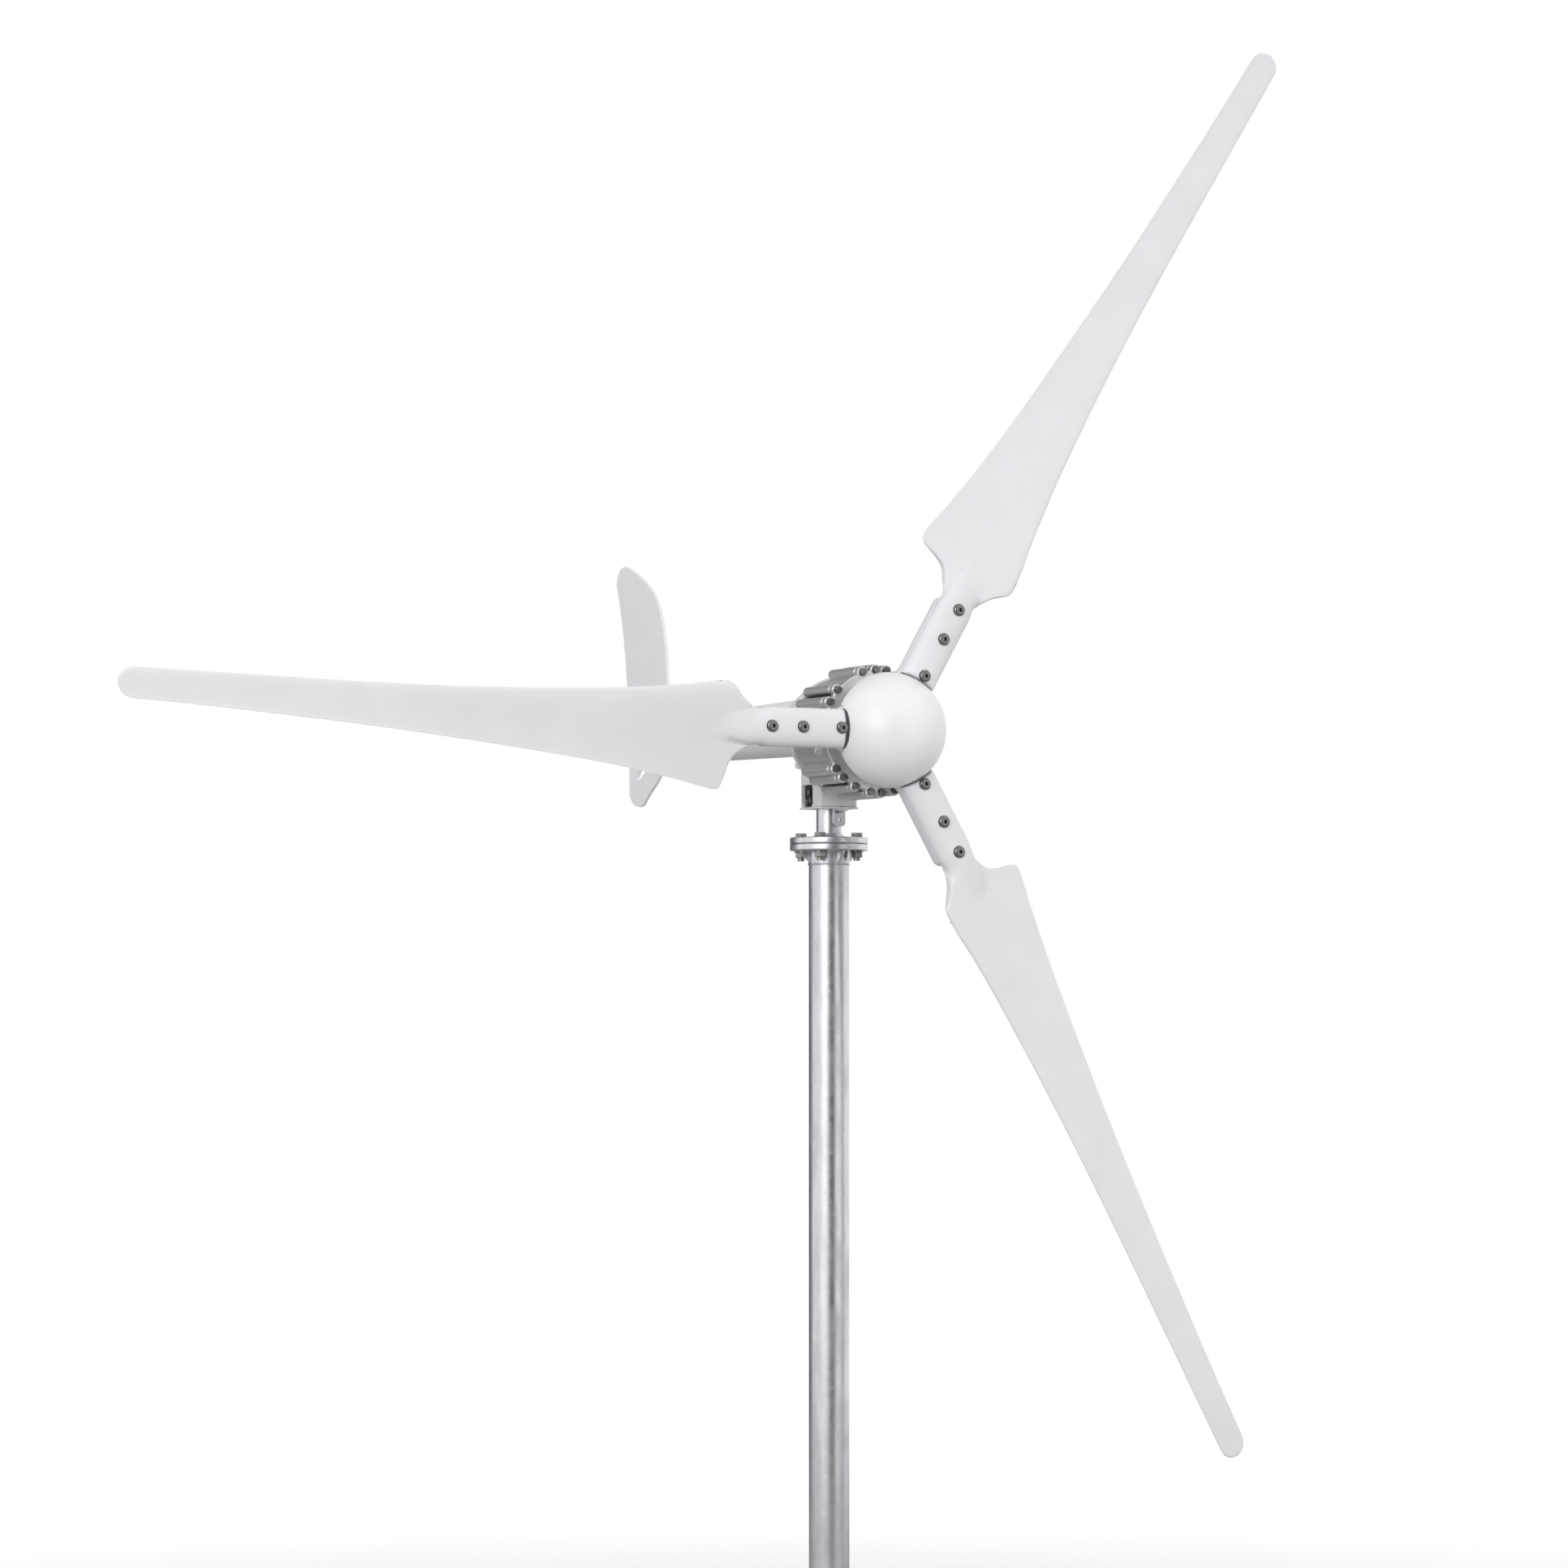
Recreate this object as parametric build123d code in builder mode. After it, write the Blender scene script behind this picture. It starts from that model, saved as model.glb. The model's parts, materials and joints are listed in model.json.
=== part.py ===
from build123d import *
import os
from math import asin, cos, degrees, pi, radians, sin, sqrt

os.makedirs("parts", exist_ok=True)

# Frame: +Z up along the mast, origin at the centre of the mast's foot.
# The rotor axis runs along Y at hub_height; the nose points to -Y and the tail to +Y.

# ---- Overall sizes ----
rotor_diameter = 1960.0
hub_height = 1060.0  # rotor axis above the mast's foot
overhang = 174.0  # blade seats ahead of the yaw axis
tail_reach = 476.0  # boom's rear end behind the yaw axis
slack = 0.1  # bolt and screw holes over their shanks, on the radius
gap = 0.35  # between parts that turn against each other

# ---- Mast, flanges and yaw shaft ----
mast_diameter = 48.3
mast_wall = 3.25
neck_height = 16.0
neck_wall = 3.75
flange_diameter = 93.5
flange_thickness = 8.0
flange_joint = -130.0  # joint plane, from the rotor axis
flange_pcd = 70.0
flange_bolt = 8.0
gusset_height = 15.0
gusset_reach = 14.0
gusset_thickness = 4.0
weld_size = 4.5
shaft_diameter = 30.0  # yaw shaft below its bearings
journal_diameter = 25.0  # yaw shaft at its bearings
cable_bore = 18.0

# ---- Yaw bearings (25 x 37 x 7) and slip rings, heights from the rotor axis ----
yaw_bearing_diameter = 37.0
yaw_bearing_width = 7.0
lower_bearing = -58.0
upper_bearing = -30.0
housing_floor = -86.0
floor_plate = 2.0
drum_diameter = 31.6
ring_diameter = 33.0
ring_height = 4.0
ring_pitch = 6.5

# ---- Yaw housing block and its terminal window ----
block_width = 50.0
block_depth = 52.0
block_corner = 2.5
chamber_diameter = 40.0
window_width = 28.0
window_height = 26.0
window_centre_y = 9.0
window_depth = 7.4
bracket_x = 4.0
bracket_width = 16.0
bracket_drop = 21.0
bracket_thickness = 2.5
bracket_screw_y = -23.2
bracket_screw = 3.0
bracket_screw_depth = 6.0  # in the housing's front wall
plate_lip = 1.5  # floor plate beyond the block, all round
window_corner = 5.0

# ---- Bell of the head casting, between the generator and the tail socket ----
bell_radius = 56.0  # at its middle
bell_rise = 6.0
bell_wall = 4.5
web_radius = 60.0
web_rise = 2.0
bell_lip = 2.0  # over the barrel
bearing_seat_wall = 5.0
shoulder_width = 2.0  # bearing shoulders, on the radius
side_boss_radius = 5.0
side_boss_points = ((9.0, -33.0), (29.0, -34.0))  # along Y, and from the rotor axis
side_boss_height = 4.0

# ---- Generator, as depths behind the blade seats and radii ----
cover_front = 42.0
cover_joint = 57.0
barrel_rear = 141.0
barrel_radius = 68.0
barrel_bore = 64.0
rib_radius = 6.5
rib_circle = 73.0
rib_end = 121.0
ear_depth = 10.0
ear_half_turn = (93, 107, 139, 153, 219, 230, 245, 262)  # repeated on the other half turn
cover_screw = 5.0
core_length = 50.0
core_front = 76.0
end_turn = 8.0
magnet_count = 12
slot_count = 18
magnet_radius = 46.0
core_radius = 42.0
air_gap = 1.0

# ---- Main shaft and its bearings (20 x 47 x 14) ----
main_journal = 20.0
main_body = 26.0
main_thread = 16.0
main_bearing_diameter = 47.0
main_bearing_width = 14.0
seal_width = 5.0

# ---- Hub and blade roots ----
root_half_width = 23.0
root_height = 17.6
root_start = 66.0
root_end = 174.0
arm_length = 176.0
arm_corner = 12.0
arm_thickness = 12.0
hub_disc_radius = 63.5
hub_boss_radius = 24.0
hub_fillet = 25.0
blade_bolt = 8.0
blade_bolt_radii = (73.5, 124.5, 165.3)
head_diameter = 14.0
head_height = 4.4
head_socket = 5.0
spot_depth = 1.1
blade_angles = (180.0, 60.0, -60.0)

# ---- Blade stations: share of the rotor radius, then leading edge and trailing edge
# as (offset from the pitch axis, depth behind the bolt seats) ----
blade_stations = (
    (0.190, (-50.0, 1.0), (83.0, 29.5)),
    (0.245, (-50.5, 1.0), (72.5, 26.8)),
    (0.295, (-45.1, 2.0), (61.4, 23.3)),
    (0.393, (-39.1, 5.0), (44.9, 18.4)),
    (0.540, (-36.3, 5.9), (26.5, 14.2)),
    (0.687, (-37.9, 5.1), (11.1, 9.6)),
    (0.835, (-42.2, 3.0), (-1.5, 6.0)),
    (0.925, (-45.0, 1.6), (-8.2, 3.6)),
    (1.000, (-47.5, 0.5), (-12.5, 2.2)),
)
section_thickness = 0.12
section_camber = 0.035
tip_round = 17.5
tip_offset = -29.5

# ---- Spinner ----
spinner_radius = 68.4
spinner_centre = 23.0
skirt_rear = 25.0
notch_gap = 0.6
spinner_wall = 2.5
spinner_post = 5.0
spinner_post_circle = 50.0
spinner_screw = 4.0

# ---- Boom and tail fin, depths behind the blade seats ----
boom_root_radius = 34.7
boom_tip_radius = 27.7
boom_wall = 2.5
boom_rise = 12.8
socket_front = 204.0
socket_rear = 228.0
socket_wall = 2.8
fin_thickness = 4.0
fin_bolt = 6.0
fin_bolt_depths = (622.0, 638.0)
slot_start = 600.0

rotor_axis = Axis((0, 0, hub_height), (0, 1, 0))
rotor_radius = rotor_diameter / 2
mast_top = flange_joint - flange_thickness
mast_bore = mast_diameter / 2 - mast_wall
neck_radius = mast_bore + neck_wall
arm_rear = root_height + arm_thickness
front_bearing = cover_front + seal_width
rear_bearing = barrel_rear
stator_bore = magnet_radius + air_gap
boom_end = overhang + tail_reach
pieces = {}


def across(depth, rise=0.0):
    """Plane square to the rotor axis, facing forward, X to the right and Y up."""
    return Plane(origin=(0, depth - overhang, hub_height + rise), x_dir=(1, 0, 0), z_dir=(0, -1, 0))


def level(height):
    """Level plane, at a height from the rotor axis."""
    return Plane.XY.offset(hub_height + height)


def at(depth, radius):
    """Point of a turned or flat outline in the upright plane of the rotor axis."""
    return (depth - overhang, hub_height + radius)


def polar(radius, angle):
    return (radius * cos(radians(angle)), radius * sin(radians(angle)))


ear_angles = [angle + half for half in (0, 180) for angle in ear_half_turn]
ear_points = [polar(rib_circle, angle) for angle in ear_angles]
flange_points = [polar(flange_pcd / 2, 45 + 90 * i) for i in range(4)]
post_points = [polar(spinner_post_circle, 120 * i) for i in range(3)]
arm_points = [polar(radius, angle) for angle in blade_angles for radius in blade_bolt_radii]

# ================= Mast body =================

# Mast: plain galvanised pipe, open at the foot, which clamps in or over the owner's pole.
with BuildPart() as mast_tube:
    with BuildSketch(Plane.XY):
        Circle(mast_diameter / 2)
        Circle(mast_bore, mode=Mode.SUBTRACT)
    extrude(amount=hub_height + mast_top - neck_height)
pieces["mast_tube"] = mast_tube.part

# Lower flange, with a weld neck a little wider than the pipe that it is welded on.
with BuildPart() as mast_flange:
    with BuildSketch(level(mast_top - neck_height)):
        Circle(neck_radius)
        Circle(mast_bore, mode=Mode.SUBTRACT)
    extrude(amount=neck_height)
    with BuildSketch(level(mast_top)):
        Circle(flange_diameter / 2)
        Circle(mast_bore, mode=Mode.SUBTRACT)
        with Locations(*flange_points):
            Circle(flange_bolt / 2 + slack, mode=Mode.SUBTRACT)
    extrude(amount=flange_thickness)
    outer = mast_flange.edges().filter_by(GeomType.CIRCLE).group_by(SortBy.RADIUS)[-1]
    chamfer(outer, 0.8)
pieces["mast_flange"] = mast_flange.part

# Four triangular webs brace the lower flange to its neck.
with BuildPart() as mast_gussets:
    for quarter in range(4):
        web = Plane.XZ.rotated((0, 0, 90 * quarter))
        with BuildSketch(web):
            inner = neck_radius
            top = hub_height + mast_top
            with BuildLine():
                Polyline(
                    (inner, top),
                    (inner + gusset_reach, top),
                    (inner + gusset_reach, top - 3),
                    (inner, top - gusset_height),
                    close=True,
                )
            make_face()
        extrude(amount=gusset_thickness / 2, both=True)
pieces["mast_gussets"] = mast_gussets.part

# Upper flange with the weld around the yaw shaft.
with BuildPart() as yaw_flange:
    with BuildSketch(level(flange_joint)):
        Circle(flange_diameter / 2)
        with Locations(*flange_points):
            Circle(flange_bolt / 2 + slack, mode=Mode.SUBTRACT)
    extrude(amount=flange_thickness)
    outer = yaw_flange.edges().filter_by(GeomType.CIRCLE).group_by(SortBy.RADIUS)[-1]
    chamfer(outer, 0.8)
    with BuildSketch(level(flange_joint + flange_thickness)):
        Circle(shaft_diameter / 2 + weld_size)
    extrude(amount=weld_size, taper=35)
    with BuildSketch(level(flange_joint)):
        Circle(shaft_diameter / 2)
    extrude(amount=flange_thickness + weld_size, mode=Mode.SUBTRACT)
pieces["yaw_flange"] = yaw_flange.part

# Yaw shaft: stepped and hollow, with a thread for its nut at the top.
shaft_top = upper_bearing + yaw_bearing_width + 7.0
with BuildPart() as yaw_shaft:
    with BuildSketch(level(flange_joint)):
        Circle(shaft_diameter / 2)
    extrude(amount=lower_bearing - flange_joint)
    with BuildSketch(level(lower_bearing)):
        Circle(journal_diameter / 2)
    extrude(amount=shaft_top - lower_bearing)
    with BuildSketch(level(flange_joint)):
        Circle(cable_bore / 2)
    extrude(amount=shaft_top - flange_joint, mode=Mode.SUBTRACT)
pieces["yaw_shaft"] = yaw_shaft.part

# Flange fasteners: heads on top, washers and nuts underneath, with the thread showing below.
nut_height = 6.5
washer_thickness = 1.6
bolt_across = 13.0
with BuildPart() as flange_bolts:
    head_seat = flange_joint + flange_thickness
    with BuildSketch(level(head_seat)):
        with Locations(*flange_points):
            RegularPolygon(bolt_across / 2, 6, major_radius=False)
    extrude(amount=5.3)
    with BuildSketch(level(head_seat)):
        with Locations(*flange_points):
            Circle(flange_bolt / 2)
    extrude(amount=-(2 * flange_thickness + washer_thickness + nut_height + 4.0))
pieces["flange_bolts"] = flange_bolts.part

with BuildPart() as flange_washers:
    with BuildSketch(level(mast_top)):
        with Locations(*flange_points):
            Circle(8.0)
            Circle(flange_bolt / 2 + slack, mode=Mode.SUBTRACT)
    extrude(amount=-washer_thickness)
pieces["flange_washers"] = flange_washers.part

with BuildPart() as flange_nuts:
    with BuildSketch(level(mast_top - washer_thickness)):
        with Locations(*flange_points):
            RegularPolygon(bolt_across / 2, 6, major_radius=False)
            Circle(flange_bolt / 2, mode=Mode.SUBTRACT)
    extrude(amount=-nut_height)
pieces["flange_nuts"] = flange_nuts.part

# Slip-ring drum: a moulded sleeve on the shaft carrying three copper rings.
drum_bottom = housing_floor + 2.0
drum_top = lower_bearing - 2.0
ring_middles = [(drum_bottom + drum_top) / 2 + ring_pitch * i for i in (-1, 0, 1)]
with BuildPart() as slip_ring_drum:
    with BuildSketch(level(drum_bottom)):
        Circle(drum_diameter / 2)
        Circle(shaft_diameter / 2, mode=Mode.SUBTRACT)
    extrude(amount=drum_top - drum_bottom)
pieces["slip_ring_drum"] = slip_ring_drum.part

with BuildPart() as slip_rings:
    for middle in ring_middles:
        with BuildSketch(level(middle - ring_height / 2)):
            Circle(ring_diameter / 2)
            Circle(drum_diameter / 2, mode=Mode.SUBTRACT)
        extrude(amount=ring_height)
pieces["slip_rings"] = slip_rings.part

# Yaw bearings, inner rings on the shaft.
yaw_inner_radius = journal_diameter / 2 + 1.8
with BuildPart() as yaw_bearing_inner:
    for seat in (lower_bearing, upper_bearing):
        with BuildSketch(level(seat)):
            Circle(yaw_inner_radius)
            Circle(journal_diameter / 2, mode=Mode.SUBTRACT)
        extrude(amount=yaw_bearing_width)
pieces["yaw_bearing_inner"] = yaw_bearing_inner.part

# Locknut that holds the nacelle on its shaft.
with BuildPart() as yaw_nut:
    with BuildSketch(level(upper_bearing + yaw_bearing_width)):
        Circle(yaw_inner_radius + 2.2)
        Circle(journal_diameter / 2, mode=Mode.SUBTRACT)
        with PolarLocations(yaw_inner_radius + 2.2, 4):
            Rectangle(2.4, 4.0, mode=Mode.SUBTRACT)
    extrude(amount=6.0)
pieces["yaw_nut"] = yaw_nut.part

# ================= Nacelle body =================

# Cast frame: rear bell, web for the rear bearing, yaw housing block and boom socket in one.
bell_mid = 178.0
bell_end = 214.0
socket_radius = boom_root_radius + socket_wall
block_top = upper_bearing + 9.0
web_front = 150.0
web_rear = 158.0
with BuildPart() as nacelle_frame:
    with BuildSketch(across(barrel_rear)):
        Circle(barrel_radius + bell_lip)
    with BuildSketch(across(bell_mid, bell_rise)):
        Circle(bell_radius)
    with BuildSketch(across(bell_end, boom_rise)):
        Circle(socket_radius + 1.5)
    loft()
    with BuildSketch(across(socket_rear, boom_rise)):
        Circle(socket_radius)
    extrude(amount=socket_rear - bell_end)
    with BuildSketch(across(web_rear, web_rise)):
        Circle(web_radius)
    with BuildSketch(across(bell_mid, bell_rise)):
        Circle(bell_radius - bell_wall)
    with BuildSketch(across(socket_front, boom_rise - 1.5)):
        Circle(boom_root_radius - boom_wall)
    loft(mode=Mode.SUBTRACT)
    with BuildSketch(across(web_front)):
        Circle(barrel_radius - 3)
    extrude(amount=web_front - barrel_rear, mode=Mode.SUBTRACT)
    with BuildSketch(across(web_rear)):
        Circle(main_bearing_diameter / 2 + bearing_seat_wall)
    extrude(amount=web_rear - barrel_rear)
    with BuildSketch(level(housing_floor)):
        RectangleRounded(block_width, block_depth, block_corner)
    extrude(amount=block_top - housing_floor)
    with BuildSketch(Plane.YZ.offset(-block_width / 2 - side_boss_height)):
        with Locations(*[(along, hub_height + height) for along, height in side_boss_points]):
            Circle(side_boss_radius)
    extrude(amount=14)
    with BuildSketch(across(socket_rear, boom_rise)):
        Circle(boom_root_radius)
    extrude(amount=socket_rear - socket_front, mode=Mode.SUBTRACT)
    with BuildSketch(across(rear_bearing + main_bearing_width)):
        Circle(main_bearing_diameter / 2)
    extrude(amount=main_bearing_width, mode=Mode.SUBTRACT)
    with BuildSketch(across(rear_bearing + main_bearing_width + 1.5)):
        Circle(main_journal / 2 + shoulder_width)
    extrude(amount=1.5, mode=Mode.SUBTRACT)
    with BuildSketch(level(housing_floor)):
        Circle(chamber_diameter / 2)
    extrude(amount=lower_bearing - housing_floor, mode=Mode.SUBTRACT)
    with BuildSketch(level(lower_bearing)):
        Circle(yaw_bearing_diameter / 2)
    extrude(amount=yaw_bearing_width, mode=Mode.SUBTRACT)
    with BuildSketch(level(lower_bearing)):
        Circle(yaw_inner_radius + shoulder_width)
    extrude(amount=block_top - lower_bearing, mode=Mode.SUBTRACT)
    with BuildSketch(level(upper_bearing)):
        Circle(yaw_bearing_diameter / 2)
    extrude(amount=yaw_bearing_width + 10, mode=Mode.SUBTRACT)
    window_middle = (housing_floor + lower_bearing) / 2
    with BuildSketch(Plane.YZ.offset(-block_width / 2 - 1)):
        with Locations((window_centre_y, hub_height + window_middle)):
            RectangleRounded(window_width, window_height, window_corner)
    extrude(amount=window_depth + 1, mode=Mode.SUBTRACT)
    with BuildSketch(level(housing_floor)):
        with Locations((bracket_x, bracket_screw_y)):
            Circle(bracket_screw / 2 + slack)
    extrude(amount=bracket_screw_depth + 0.5, mode=Mode.SUBTRACT)
pieces["nacelle_frame"] = nacelle_frame.part

# Bottom plate closes the slip-ring chamber around the shaft, with a small lip all round.
with BuildPart() as bottom_plate:
    with BuildSketch(level(housing_floor)):
        RectangleRounded(block_width + 2 * plate_lip, block_depth + 2 * plate_lip, block_corner + 1)
        Circle(shaft_diameter / 2 + 0.6, mode=Mode.SUBTRACT)
        with Locations((bracket_x, bracket_screw_y)):
            Circle(bracket_screw / 2 + slack, mode=Mode.SUBTRACT)
    extrude(amount=-floor_plate)
pieces["bottom_plate"] = bottom_plate.part

# Yaw bearings, outer rings in the housing.
with BuildPart() as yaw_bearing_outer:
    for seat in (lower_bearing, upper_bearing):
        with BuildSketch(level(seat)):
            Circle(yaw_bearing_diameter / 2)
            Circle(yaw_inner_radius + gap, mode=Mode.SUBTRACT)
        extrude(amount=yaw_bearing_width)
pieces["yaw_bearing_outer"] = yaw_bearing_outer.part

# Terminal block in the window, its three studs, and the brushes that reach the rings.
terminal_plane = Plane.YZ.offset(-block_width / 2 + window_depth)
stud_points = [
    (window_centre_y + 1, hub_height + window_middle + 4),
    (window_centre_y - 2.5, hub_height + window_middle - 6),
    (window_centre_y + 6.5, hub_height + window_middle - 7),
]
terminal_thickness = 2.6
with BuildPart() as terminal_block:
    with BuildSketch(terminal_plane):
        with Locations((window_centre_y, hub_height + window_middle)):
            RectangleRounded(window_width, window_height, window_corner)
        with Locations(*stud_points):
            Circle(2.0, mode=Mode.SUBTRACT)
        with Locations(*[(0, hub_height + middle) for middle in ring_middles]):
            Rectangle(3.4, ring_height - 0.6, mode=Mode.SUBTRACT)
    extrude(amount=-terminal_thickness)
pieces["terminal_block"] = terminal_block.part

with BuildPart() as terminal_screws:
    with BuildSketch(terminal_plane):
        with Locations(*stud_points):
            Circle(2.0)
    extrude(amount=-terminal_thickness - 0.01)
    with BuildSketch(terminal_plane.offset(-terminal_thickness)):
        with Locations(*stud_points):
            Circle(3.4)
    extrude(amount=-2.2)
pieces["terminal_screws"] = terminal_screws.part

brush_tip = ring_diameter / 2 + 0.4
with BuildPart() as brushes:
    with BuildSketch(Plane.YZ.offset(-brush_tip)):
        with Locations(*[(0, hub_height + middle) for middle in ring_middles]):
            Rectangle(3.4, ring_height - 0.6)
    extrude(amount=-(block_width / 2 - window_depth + terminal_thickness - brush_tip))
pieces["brushes"] = brushes.part

# Earth bracket: a folded tab under the floor plate, ahead of the yaw shaft, with the screw
# that clamps it and the plate to the housing's front wall.
plate_under = housing_floor - floor_plate
bracket_rear = -(shaft_diameter / 2 + 2.0)
bracket_fold = -block_depth / 2
with BuildPart() as earth_bracket:
    with BuildSketch(level(plate_under)):
        with Locations((bracket_x, (bracket_rear + bracket_fold) / 2)):
            Rectangle(bracket_width, bracket_rear - bracket_fold)
        with Locations((bracket_x, bracket_screw_y)):
            Circle(bracket_screw / 2 + slack, mode=Mode.SUBTRACT)
    extrude(amount=-bracket_thickness)
    with BuildSketch(Plane.XZ.offset(-bracket_rear)):
        with Locations((bracket_x, hub_height + plate_under - bracket_drop / 2)):
            Rectangle(bracket_width, bracket_drop)
        with Locations((bracket_x, hub_height + plate_under - 0.62 * bracket_drop)):
            Circle(2.2, mode=Mode.SUBTRACT)
    extrude(amount=bracket_thickness)
    tab_end = earth_bracket.edges().filter_by(Axis.Y).group_by(Axis.Z)[0]
    fillet(tab_end, 5.0)
pieces["earth_bracket"] = earth_bracket.part

with BuildPart() as bracket_fixing:
    with BuildSketch(level(plate_under - bracket_thickness)):
        with Locations((bracket_x, bracket_screw_y)):
            RegularPolygon(2.75, 6, major_radius=False)
    extrude(amount=-2.4)
    with BuildSketch(level(plate_under - bracket_thickness)):
        with Locations((bracket_x, bracket_screw_y)):
            Circle(bracket_screw / 2)
    extrude(amount=bracket_thickness + floor_plate + bracket_screw_depth)
pieces["bracket_screw"] = bracket_fixing.part

# Generator barrel: cast tube with a rounded rib behind every cover screw.
screw_grip = 12.0
with BuildPart() as generator_barrel:
    with BuildSketch(across(barrel_rear)):
        Circle(barrel_radius)
    extrude(amount=barrel_rear - cover_joint)
    with BuildSketch(across(rib_end)):
        with Locations(*ear_points):
            Circle(rib_radius)
    extrude(amount=rib_end - cover_joint)
    with Locations(*[across(rib_end).from_local_coords((x, y, 0)) for x, y in ear_points]):
        Sphere(rib_radius)
    slot_turn = radians(200)
    with Locations(across(82).from_local_coords((67 * cos(slot_turn), 67 * sin(slot_turn), 0))):
        Box(9, 8, 10)
    with BuildSketch(across(barrel_rear)):
        Circle(barrel_bore)
    extrude(amount=barrel_rear - cover_joint, mode=Mode.SUBTRACT)
    with BuildSketch(across(cover_joint)):
        with Locations(*ear_points):
            Circle(cover_screw / 2 + slack)
    extrude(amount=-screw_grip - 1, mode=Mode.SUBTRACT)
pieces["generator_barrel"] = generator_barrel.part

# Front cover: domed casting with an ear at every screw and the front bearing's pocket.
seal_radius = 20.0
pocket_radius = main_bearing_diameter / 2
with BuildPart() as front_cover:
    with BuildSketch(Plane.YZ):
        with BuildLine():
            Polyline(
                at(cover_front, seal_radius),
                at(cover_front, 34),
                at(cover_front + 2, 56),
                at(cover_joint - ear_depth, 68),
                at(cover_joint - ear_depth, barrel_radius + 4),
                at(cover_joint, barrel_radius + 4),
                at(cover_joint, 62),
                at(cover_front + 8, 54),
                at(cover_front + 6, 36),
                at(cover_front + 6, pocket_radius + 5),
                at(front_bearing + main_bearing_width, pocket_radius + 5),
                at(front_bearing + main_bearing_width, pocket_radius),
                at(front_bearing, pocket_radius),
                at(front_bearing, seal_radius),
                close=True,
            )
        make_face()
    revolve(axis=rotor_axis)
    with BuildSketch(across(cover_joint)):
        with Locations(*ear_points):
            Circle(rib_radius)
    extrude(amount=ear_depth)
    with BuildSketch(across(cover_joint)):
        with Locations(*ear_points):
            Circle(cover_screw / 2 + slack)
    extrude(amount=ear_depth, mode=Mode.SUBTRACT)
pieces["front_cover"] = front_cover.part

with BuildPart() as cover_screws:
    with BuildSketch(across(cover_joint - ear_depth)):
        with Locations(*ear_points):
            RegularPolygon(4.0, 6, major_radius=False)
    extrude(amount=3.6)
    with BuildSketch(across(cover_joint - ear_depth)):
        with Locations(*ear_points):
            Circle(cover_screw / 2)
    extrude(amount=-ear_depth - screw_grip)
pieces["cover_screws"] = cover_screws.part

# Stator: slotted lamination stack with its windings.
tooth_slot = 8.0
slot_bottom = 58.0
with BuildPart() as stator_core:
    with BuildSketch(across(core_front + core_length)):
        Circle(barrel_bore)
        Circle(stator_bore, mode=Mode.SUBTRACT)
        with PolarLocations((slot_bottom + stator_bore) / 2, slot_count):
            Rectangle(slot_bottom - stator_bore + 1, tooth_slot, mode=Mode.SUBTRACT)
    extrude(amount=core_length)
pieces["stator_core"] = stator_core.part

with BuildPart() as stator_windings:
    with BuildSketch(across(core_front + core_length)):
        with PolarLocations((slot_bottom + stator_bore) / 2 + 1, slot_count):
            Rectangle(slot_bottom - stator_bore - 2, tooth_slot - 0.2)
    extrude(amount=core_length)
    for front in (core_front, core_front + core_length + end_turn):
        with BuildSketch(across(front)):
            Circle(slot_bottom)
            Circle(stator_bore + 1.5, mode=Mode.SUBTRACT)
        extrude(amount=end_turn)
pieces["stator_windings"] = stator_windings.part

# Outer rings of the main bearings, with their shields, and the front seal.
shield_radius = main_journal / 2 + 4.5 + gap
with BuildPart() as main_bearing_outer:
    for seat in (front_bearing, rear_bearing):
        with BuildSketch(across(seat + main_bearing_width)):
            Circle(pocket_radius)
            Circle(shield_radius, mode=Mode.SUBTRACT)
        extrude(amount=main_bearing_width)
pieces["main_bearing_outer"] = main_bearing_outer.part

with BuildPart() as shaft_seal:
    with BuildSketch(across(front_bearing)):
        Circle(seal_radius)
        Circle(main_body / 2 + gap, mode=Mode.SUBTRACT)
    extrude(amount=seal_width)
pieces["shaft_seal"] = shaft_seal.part

# Tail boom: tapered tube in the frame's socket, slotted at its end for the fin.
socket_screw = 5.0
screw_depth = (socket_front + socket_rear) / 2
with BuildPart() as tail_boom:
    with BuildSketch(across(socket_rear, boom_rise)):
        Circle(boom_root_radius)
    extrude(amount=socket_rear - socket_front)
    with BuildSketch(across(socket_rear, boom_rise)):
        Circle(boom_root_radius)
    with BuildSketch(across(boom_end, boom_rise)):
        Circle(boom_tip_radius)
    loft()
    with BuildSketch(across(socket_front, boom_rise)):
        Circle(boom_root_radius - boom_wall)
    with BuildSketch(across(boom_end, boom_rise)):
        Circle(boom_tip_radius - boom_wall)
    loft(mode=Mode.SUBTRACT)
    with BuildSketch(across(boom_end, boom_rise)):
        Rectangle(fin_thickness, 3 * boom_tip_radius)
    extrude(amount=boom_end - slot_start, mode=Mode.SUBTRACT)
    with BuildSketch(Plane.YZ.offset(-2 * boom_tip_radius)):
        with Locations(*[at(depth, boom_rise) for depth in fin_bolt_depths]):
            Circle(fin_bolt / 2 + slack)
    extrude(amount=4 * boom_tip_radius, mode=Mode.SUBTRACT)
pieces["tail_boom"] = tail_boom.part

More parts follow.
